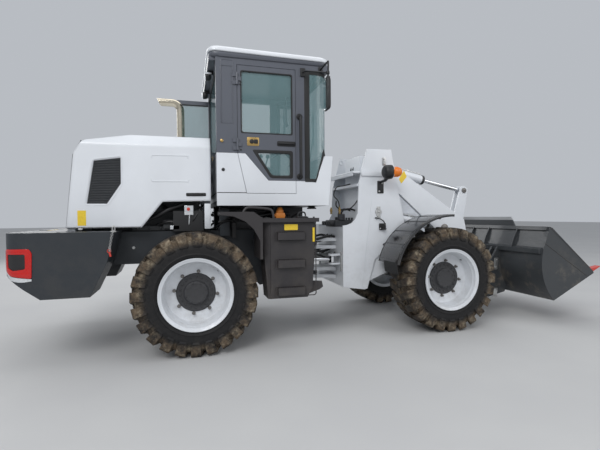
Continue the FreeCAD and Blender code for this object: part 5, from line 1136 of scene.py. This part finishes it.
def build_front_frame_trim():
    """Creases, the ledge, brackets, lock plates and bolts on the towers."""
    white = Form()
    white.tube([(687, -450.5, 1698), (608, -450.5, 1065), (529, -450.5, 440)], 3.2, 8, 1)
    for z in (1668, 1196):
        white.tube([(496, -424, z), (496, 0, z), (496, 424, z)], 7, 8, 1)
    white.block(523, 803, -466, -448, 1786, 1849)
    white.both().done("tower_creases", "front_frame", WHITE, "white_paint", bevel=2)
    ledge = Form()
    ledge.prism(rounded(oblong(430, 700, -424, 424), 30), 1822, 1846, "XY")
    ledge.block(430, 442, -400, 400, 1790, 1824)
    for hand in (1, -1):
        ledge.turned((625, hand * 424, 2057), [(0, 36), (7, 36), (9, 32), (9, 22), (2, 20), (2, 0)],
                     (0, -hand, 0), 28)
    ledge.done("tower_ledge", "front_frame", WHITE, "white_paint", bevel=3)
    dark = Form()
    dark.plate(735, 817, 1581, 1731, 8, -TOWER_SIDE - 9, -TOWER_SIDE)
    dark.plate(755, 843, 1141, 1222, 8, -TOWER_SIDE - 13, -TOWER_SIDE)
    dark.block(770, 828, -505, -460, 1150, 1162)
    dark.tube([(800, -500, 1160), (806, -506, 1220), (770, -480, 1270), (700, -456, 1290)], 7, 8, 5)
    dark.both().done("tower_brackets", "front_frame", BLACK, bevel=2)
    zinc = Form()
    zinc.plate(800, 850, 1918, 2014, 12, -TOWER_SIDE - 8, -TOWER_SIDE)
    zinc.bolts(15, -TOWER_SIDE - 8, ((825, 1938), (825, 1994), (732, 1317), (732, 1400)))
    zinc.bolts(15, -TOWER_SIDE - 9, ((757, 1606), (795, 1706)))
    zinc.bolts(13, -TOWER_SIDE - 13, ((768, 1160), (830, 1204)))
    zinc.rod((287, -392, 659), (287, -392, 886), 10, 14)
    for z in (672, 868):
        zinc.block(276, 298, -420, -384, z, z + 10)
    for x, z in ((849, 1840), (749, 1358)):
        zinc.turned((x, -TOWER_SIDE - 10, z), [(0, 9), (6, 9), (8, 5), (14, 5), (15, 0)], RIGHT, 12)
    zinc.both().done("tower_bolts", "front_frame", ZINC, "zinc", bevel=0.8)


def build_front_lamps():
    """Round head lamps on bent brackets, each with an amber indicator."""
    can = Form()
    can.turned((740, -600, 1824), [(0, 34), (4, 58), (16, 72), (40, 80), (92, 82), (100, 79), (100, 0)],
               AHEAD, 40)
    can.tube([(776, -455, 1715), (780, -500, 1722), (784, -570, 1728), (786, -600, 1748)], 15, 12, 5)
    can.block(762, 812, -640, -560, 1738, 1750)
    item = can.both().done("head_lamp_cans", "front_frame", BLACK, "lamp_black", bevel=1.5, angle=40)
    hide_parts("front_lamps")
    ring = Form()
    ring.turned((838, -600, 1824), [(0, 81), (5, 82), (9, 78), (9, 66), (4, 60), (4, 0)], AHEAD, 40)
    ring.both().done("head_lamp_lenses", "front_frame", CLEAR_LENS)
    amber = Form()
    amber.turned((836, -628, 1822), [(0, 56), (20, 59), (70, 58), (100, 50), (116, 32), (120, 0)], AHEAD, 40)
    for k in range(4):
        amber.hoop((858 + 15 * k, -628, 1822), 59, 1.6, AHEAD, 40, 6)
    amber.both().done("amber_indicators", "front_frame", ORANGE)


def fender_arc(form, low, high, y0, y1, start, end, count):
    """A curved strip between two radii round the fender's middle, over a span of degrees."""
    form.loft([[(FENDER_X + r * math.cos(a), y, FENDER_Z + r * math.sin(a))
                for r, y in ((low, y0), (high, y0), (high, y1), (low, y1))]
               for a in (math.radians(start + (end - start) * k / count) for k in range(count + 1))])


def build_fender_trim():
    """Front fenders with raised panels and rolled lips, their stays and rubber flaps."""
    shells = Form()
    for low, high, y0, y1 in ((697, 711, -958, -505), (688, 717, -962, -952), (690, 713, -511, -503)):
        fender_arc(shells, low, high, y0, y1, FENDER_START, FENDER_END, 44)
    item = shells.both().done("front_fender_shells", "front_frame", GLOSS_BLACK, "dark_paint", bevel=2.5)
    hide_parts("front_fenders")
    panels = Form()
    for start in (90.5 + 15.1 * k for k in range(5)):
        fender_arc(panels, 706, 717, -938, -530, start, start + 11.5, 8)
    panels.both().done("front_fender_pressings", "front_frame", GLOSS_BLACK, "dark_paint", bevel=5,
                       segments=3)
    stays = Form()
    for a in (math.radians(100), math.radians(140)):
        x, z = FENDER_X + 694 * math.cos(a), FENDER_Z + 694 * math.sin(a)
        stays.tube([(x - 60, -448, z - 90), (x - 40, -520, z - 60), (x, -640, z - 12), (x, -900, z - 10)], 14,
                   12, 5)
    stays.both().done("front_fender_stays", "front_frame", BLACK, "dark_paint")
    flap = Form()
    flap.loft([[(x + d, y, z) for d, y in ((0, -944), (8, -944), (8, -650), (0, -650))]
               for x, z in ((716, 800), (714, 760), (718, 715), (728, 670))])
    flap.both().done("front_fender_flaps", "front_frame", RUBBER)


def barrel_trim(name, body, foot, head, radius, length, both_sides, back=40, rise=6):
    """Gland, ports, steel line and clamps on a hydraulic cylinder's barrel."""
    start, run = Vector(foot), (Vector(head) - Vector(foot)).normalized()
    up = Vector(UP)
    up = (up - run * up.dot(run)).normalized()
    line = Form()
    for reach, steps in (
            (length - back, ((0, -1), (0, 1), (3, rise), (30, rise), (36, 2), (39, -3), (39, -5))),
            (radius + 30, ((0, -1), (0, 1), (2, 3), (12, 3), (14, 1), (14, -1)))):
        line.turned(start + run * reach, [(along, radius + out) for along, out in steps], run, 32,
                    closed=True)
    if both_sides:
        line.both()
    line.done(name + "_gland", body, BLACK_PAINT, "plastic", bevel=1)
    pipe = Form()
    off = radius + 17
    a, b = start + run * (radius + 60), start + run * (length - 60)
    pipe.tube([a + up * (radius - 4), a + up * (off + 2), a + run * 40 + up * off, (a + b) / 2 + up * off,
               b - run * 40 + up * off, b + up * (off + 2), b + up * (radius - 4)], 8, 10, 6)
    for share in (0.3, 0.7):
        p = a.lerp(b, share)
        pipe.loft([[p + run * (s * 12) + up * h + Vector((0, w, 0)) for w, h in
                    ((-14, radius - 3), (14, radius - 3), (12, off + 10), (-12, off + 10))] for s in (-1, 1)])
    for p in (a, b):
        pipe.rod(p + up * (radius - 4), p + up * (radius + 12), 15, 6)
    if both_sides:
        pipe.both()
    pipe.done(name + "_line", body, ZINC, "zinc", bevel=1)


def build_cylinder_trim():
    """The fittings of all cylinders, and the hoses to the tilt cylinder."""
    barrel_trim("tilt", "tilt_barrel", (826, 0, 1971), (2261, 0, 1656), 58, 840, False)
    barrel_trim("lift", "lift_barrels", (749, -305, 1358), (1700, -305, 1150), 48, 790, True)
    for side, hand in (("right", -1), ("left", 1)):
        barrel_trim("steering_" + side, "steering_barrel_" + side, (-520, hand * 300, 800),
                    (195, hand * 330, 800), 36, 482, False, 120, 3)
    hose = Form()
    for y in (-34, 34):
        hose.tube([(600, y, 1900), (650, y, 2010), (740, y, 2078), (826, y, 2088), (900, y, 2070),
                   (958, y, 2030)], 11, 10, 8)
    item = hose.done("tilt_hoses", None, HOSE, "plastic")
    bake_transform(item)


def build_arm_trim():
    """The blank sticker, and the pin heads with their grease nipples on the arms and the lever."""
    mark = Form().prism(rounded([(1122, 1868), (1160, 1792), (1084, 1706), (1050, 1762)], 8), -407.5, -404)
    mark.done("arm_sticker", "lift_arms", YELLOW)
    pins = Form()
    for x, z, y, radius in ((2348, 313, -413, 60), (850, 1840, -413, 60), (1700, 1150, -405, 52)):
        pins.turned((x, y, z), [(0, radius), (7, radius), (10, radius - 6), (10, 14), (18, 12), (20, 0)],
                    RIGHT, 32)
    pins.both().done("arm_pin_heads", "lift_arms", ZINC_DARK, bevel=1)
    lever = Form()
    for x, z in ((2114, 1000), (2261, 1656), (1950, 408)):
        lever.turned((x, -69, z), [(-6, 34), (4, 34), (7, 28), (7, 9), (15, 8), (16, 0)], RIGHT, 28)
    lever.both().done("lever_pin_heads", "tilt_lever", ZINC_DARK, bevel=1)


def build_bucket_trim():
    """Lock plates, painted shade in the side plates' creases as thin black strips, and the bolts of the
    teeth.
    """
    zinc = Form()
    zinc.prism(rounded([(2420, 590), (2484, 590), (2500, 745), (2436, 745)], 12), -449, -442)
    zinc.prism(rounded([(2412, 225), (2470, 225), (2486, 345), (2428, 345)], 12), -449, -442)
    zinc.bolts(15, -449, ((2448, 620), (2470, 716), (2438, 248), (2458, 322)))
    zinc.both().done("bucket_lock_plates", "bucket", ZINC, "zinc", bevel=1)
    # Painted shade: thin black strips along the side plates stand for the shade in their creases.
    edge = Form()
    edge.prism([(2560, 978), (2568, 966), (3216, 552), (3208, 566)], -1103, -1098)
    edge.prism([(2640, 1165), (2646, 1148), (3250, 655), (3252, 665)], -1102.5, -1098)
    edge.both().done("bucket_side_crease_shade", "bucket", BLACK_PAINT, "bucket_steel", bevel=1)
    bolts = Form()
    slope = Vector((-0.9, 0, -0.436)).normalized()
    rise = Vector((-slope.z, 0, slope.x)) * -1
    for k in range(8):
        y = -1030 + 2060 * k / 7
        for reach in (48, 92):
            spot = Vector((3320, y, 590)) + slope * reach
            bolts.bolt(spot + rise * 14, rise, 20, 12)
    bolts.done("tooth_bolts", "bucket", ZINC_DARK, bevel=1)


# Floor, light and camera -----------------------------------------------------------------------------

def build_stage():
    """A pale floor, an even sky and four soft lights."""
    mesh = bpy.data.meshes.new("floor")
    mesh.from_pydata([(x, y, 0) for x, y in oblong(-60, 60, -60, 60)], [], [(0, 1, 2, 3)])
    floor = bpy.data.objects.new("floor", mesh)
    bpy.context.scene.collection.objects.link(floor)
    m = Mix("pale_floor")
    patches = m.span(m.noise(0.6, 3.0), 0.3, 0.7)
    m.surface(Base_Color=m.blend(patches, (0.5, 0.5, 0.5, 1), (0.53, 0.53, 0.525, 1)), Roughness=0.9)
    mesh.materials.append(m.mat)
    world = bpy.data.worlds.new("studio")
    bpy.context.scene.world = world
    world.use_nodes = True
    back = world.node_tree.nodes["Background"]
    back.inputs[0].default_value = (0.80, 0.84, 0.9, 1)
    back.inputs[1].default_value = 0.6
    for name, spot, aim, size, power in (
            ("key", (-6, -9, 9), (0, 0, 1.2), 6.0, 740), ("fill", (8, -8, 6), (1, 0, 1), 7.0, 270),
            ("top", (0, 1, 11), (0, 0, 0), 8.0, 250), ("rim", (-5, 9, 6), (0, 0, 1.4), 5.0, 250)):
        light = bpy.data.lights.new(name, "AREA")
        light.size = size
        light.energy = power
        item = bpy.data.objects.new(name, light)
        item.location = spot
        item.rotation_euler = (Vector(aim) - Vector(spot)).to_track_quat("-Z", "Y").to_euler()
        bpy.context.scene.collection.objects.link(item)


def build_camera():
    """The camera stands where the fit puts the photograph's."""
    camera = bpy.data.cameras.new("camera")
    camera.sensor_width = 36.0
    camera.lens = CAMERA_LENS
    item = bpy.data.objects.new("camera", camera)
    turn = Matrix.Identity(4)
    for angle, axis in ((CAMERA_YAW, "Z"), (90 - CAMERA_DIP, "X"), (CAMERA_ROLL, "Z")):
        turn = turn @ Matrix.Rotation(math.radians(angle), 4, axis)
    item.matrix_world = Matrix.Translation(CAMERA_SPOT) @ turn
    bpy.context.scene.collection.objects.link(item)
    bpy.context.scene.camera = item


def set_render():
    """The renderer and the picture's size and tones."""
    scene = bpy.context.scene
    scene.render.engine = "CYCLES"
    scene.cycles.samples = 220
    scene.cycles.use_denoising = True
    scene.cycles.max_bounces = 8
    scene.cycles.transparent_max_bounces = 16
    scene.render.resolution_x = 600
    scene.render.resolution_y = 450
    scene.view_settings.view_transform = "Standard"
    scene.view_settings.look = "None"
    scene.view_settings.exposure = 0.0


for build in (build_tyres, build_rims, finish_nodes, build_hood_trim, build_exhaust, build_engine_bay,
              build_tail_lamps, build_rear_work_lamps, build_ballast_trim, build_roof, build_cab_trim,
              build_door_trim, build_mirrors, build_seat, build_console, build_steps_trim, build_tank,
              build_joint_hoses, build_valve, build_front_frame_trim, build_front_lamps, build_fender_trim,
              build_cylinder_trim, build_arm_trim, build_bucket_trim, build_stage, build_camera, set_render):
    build()
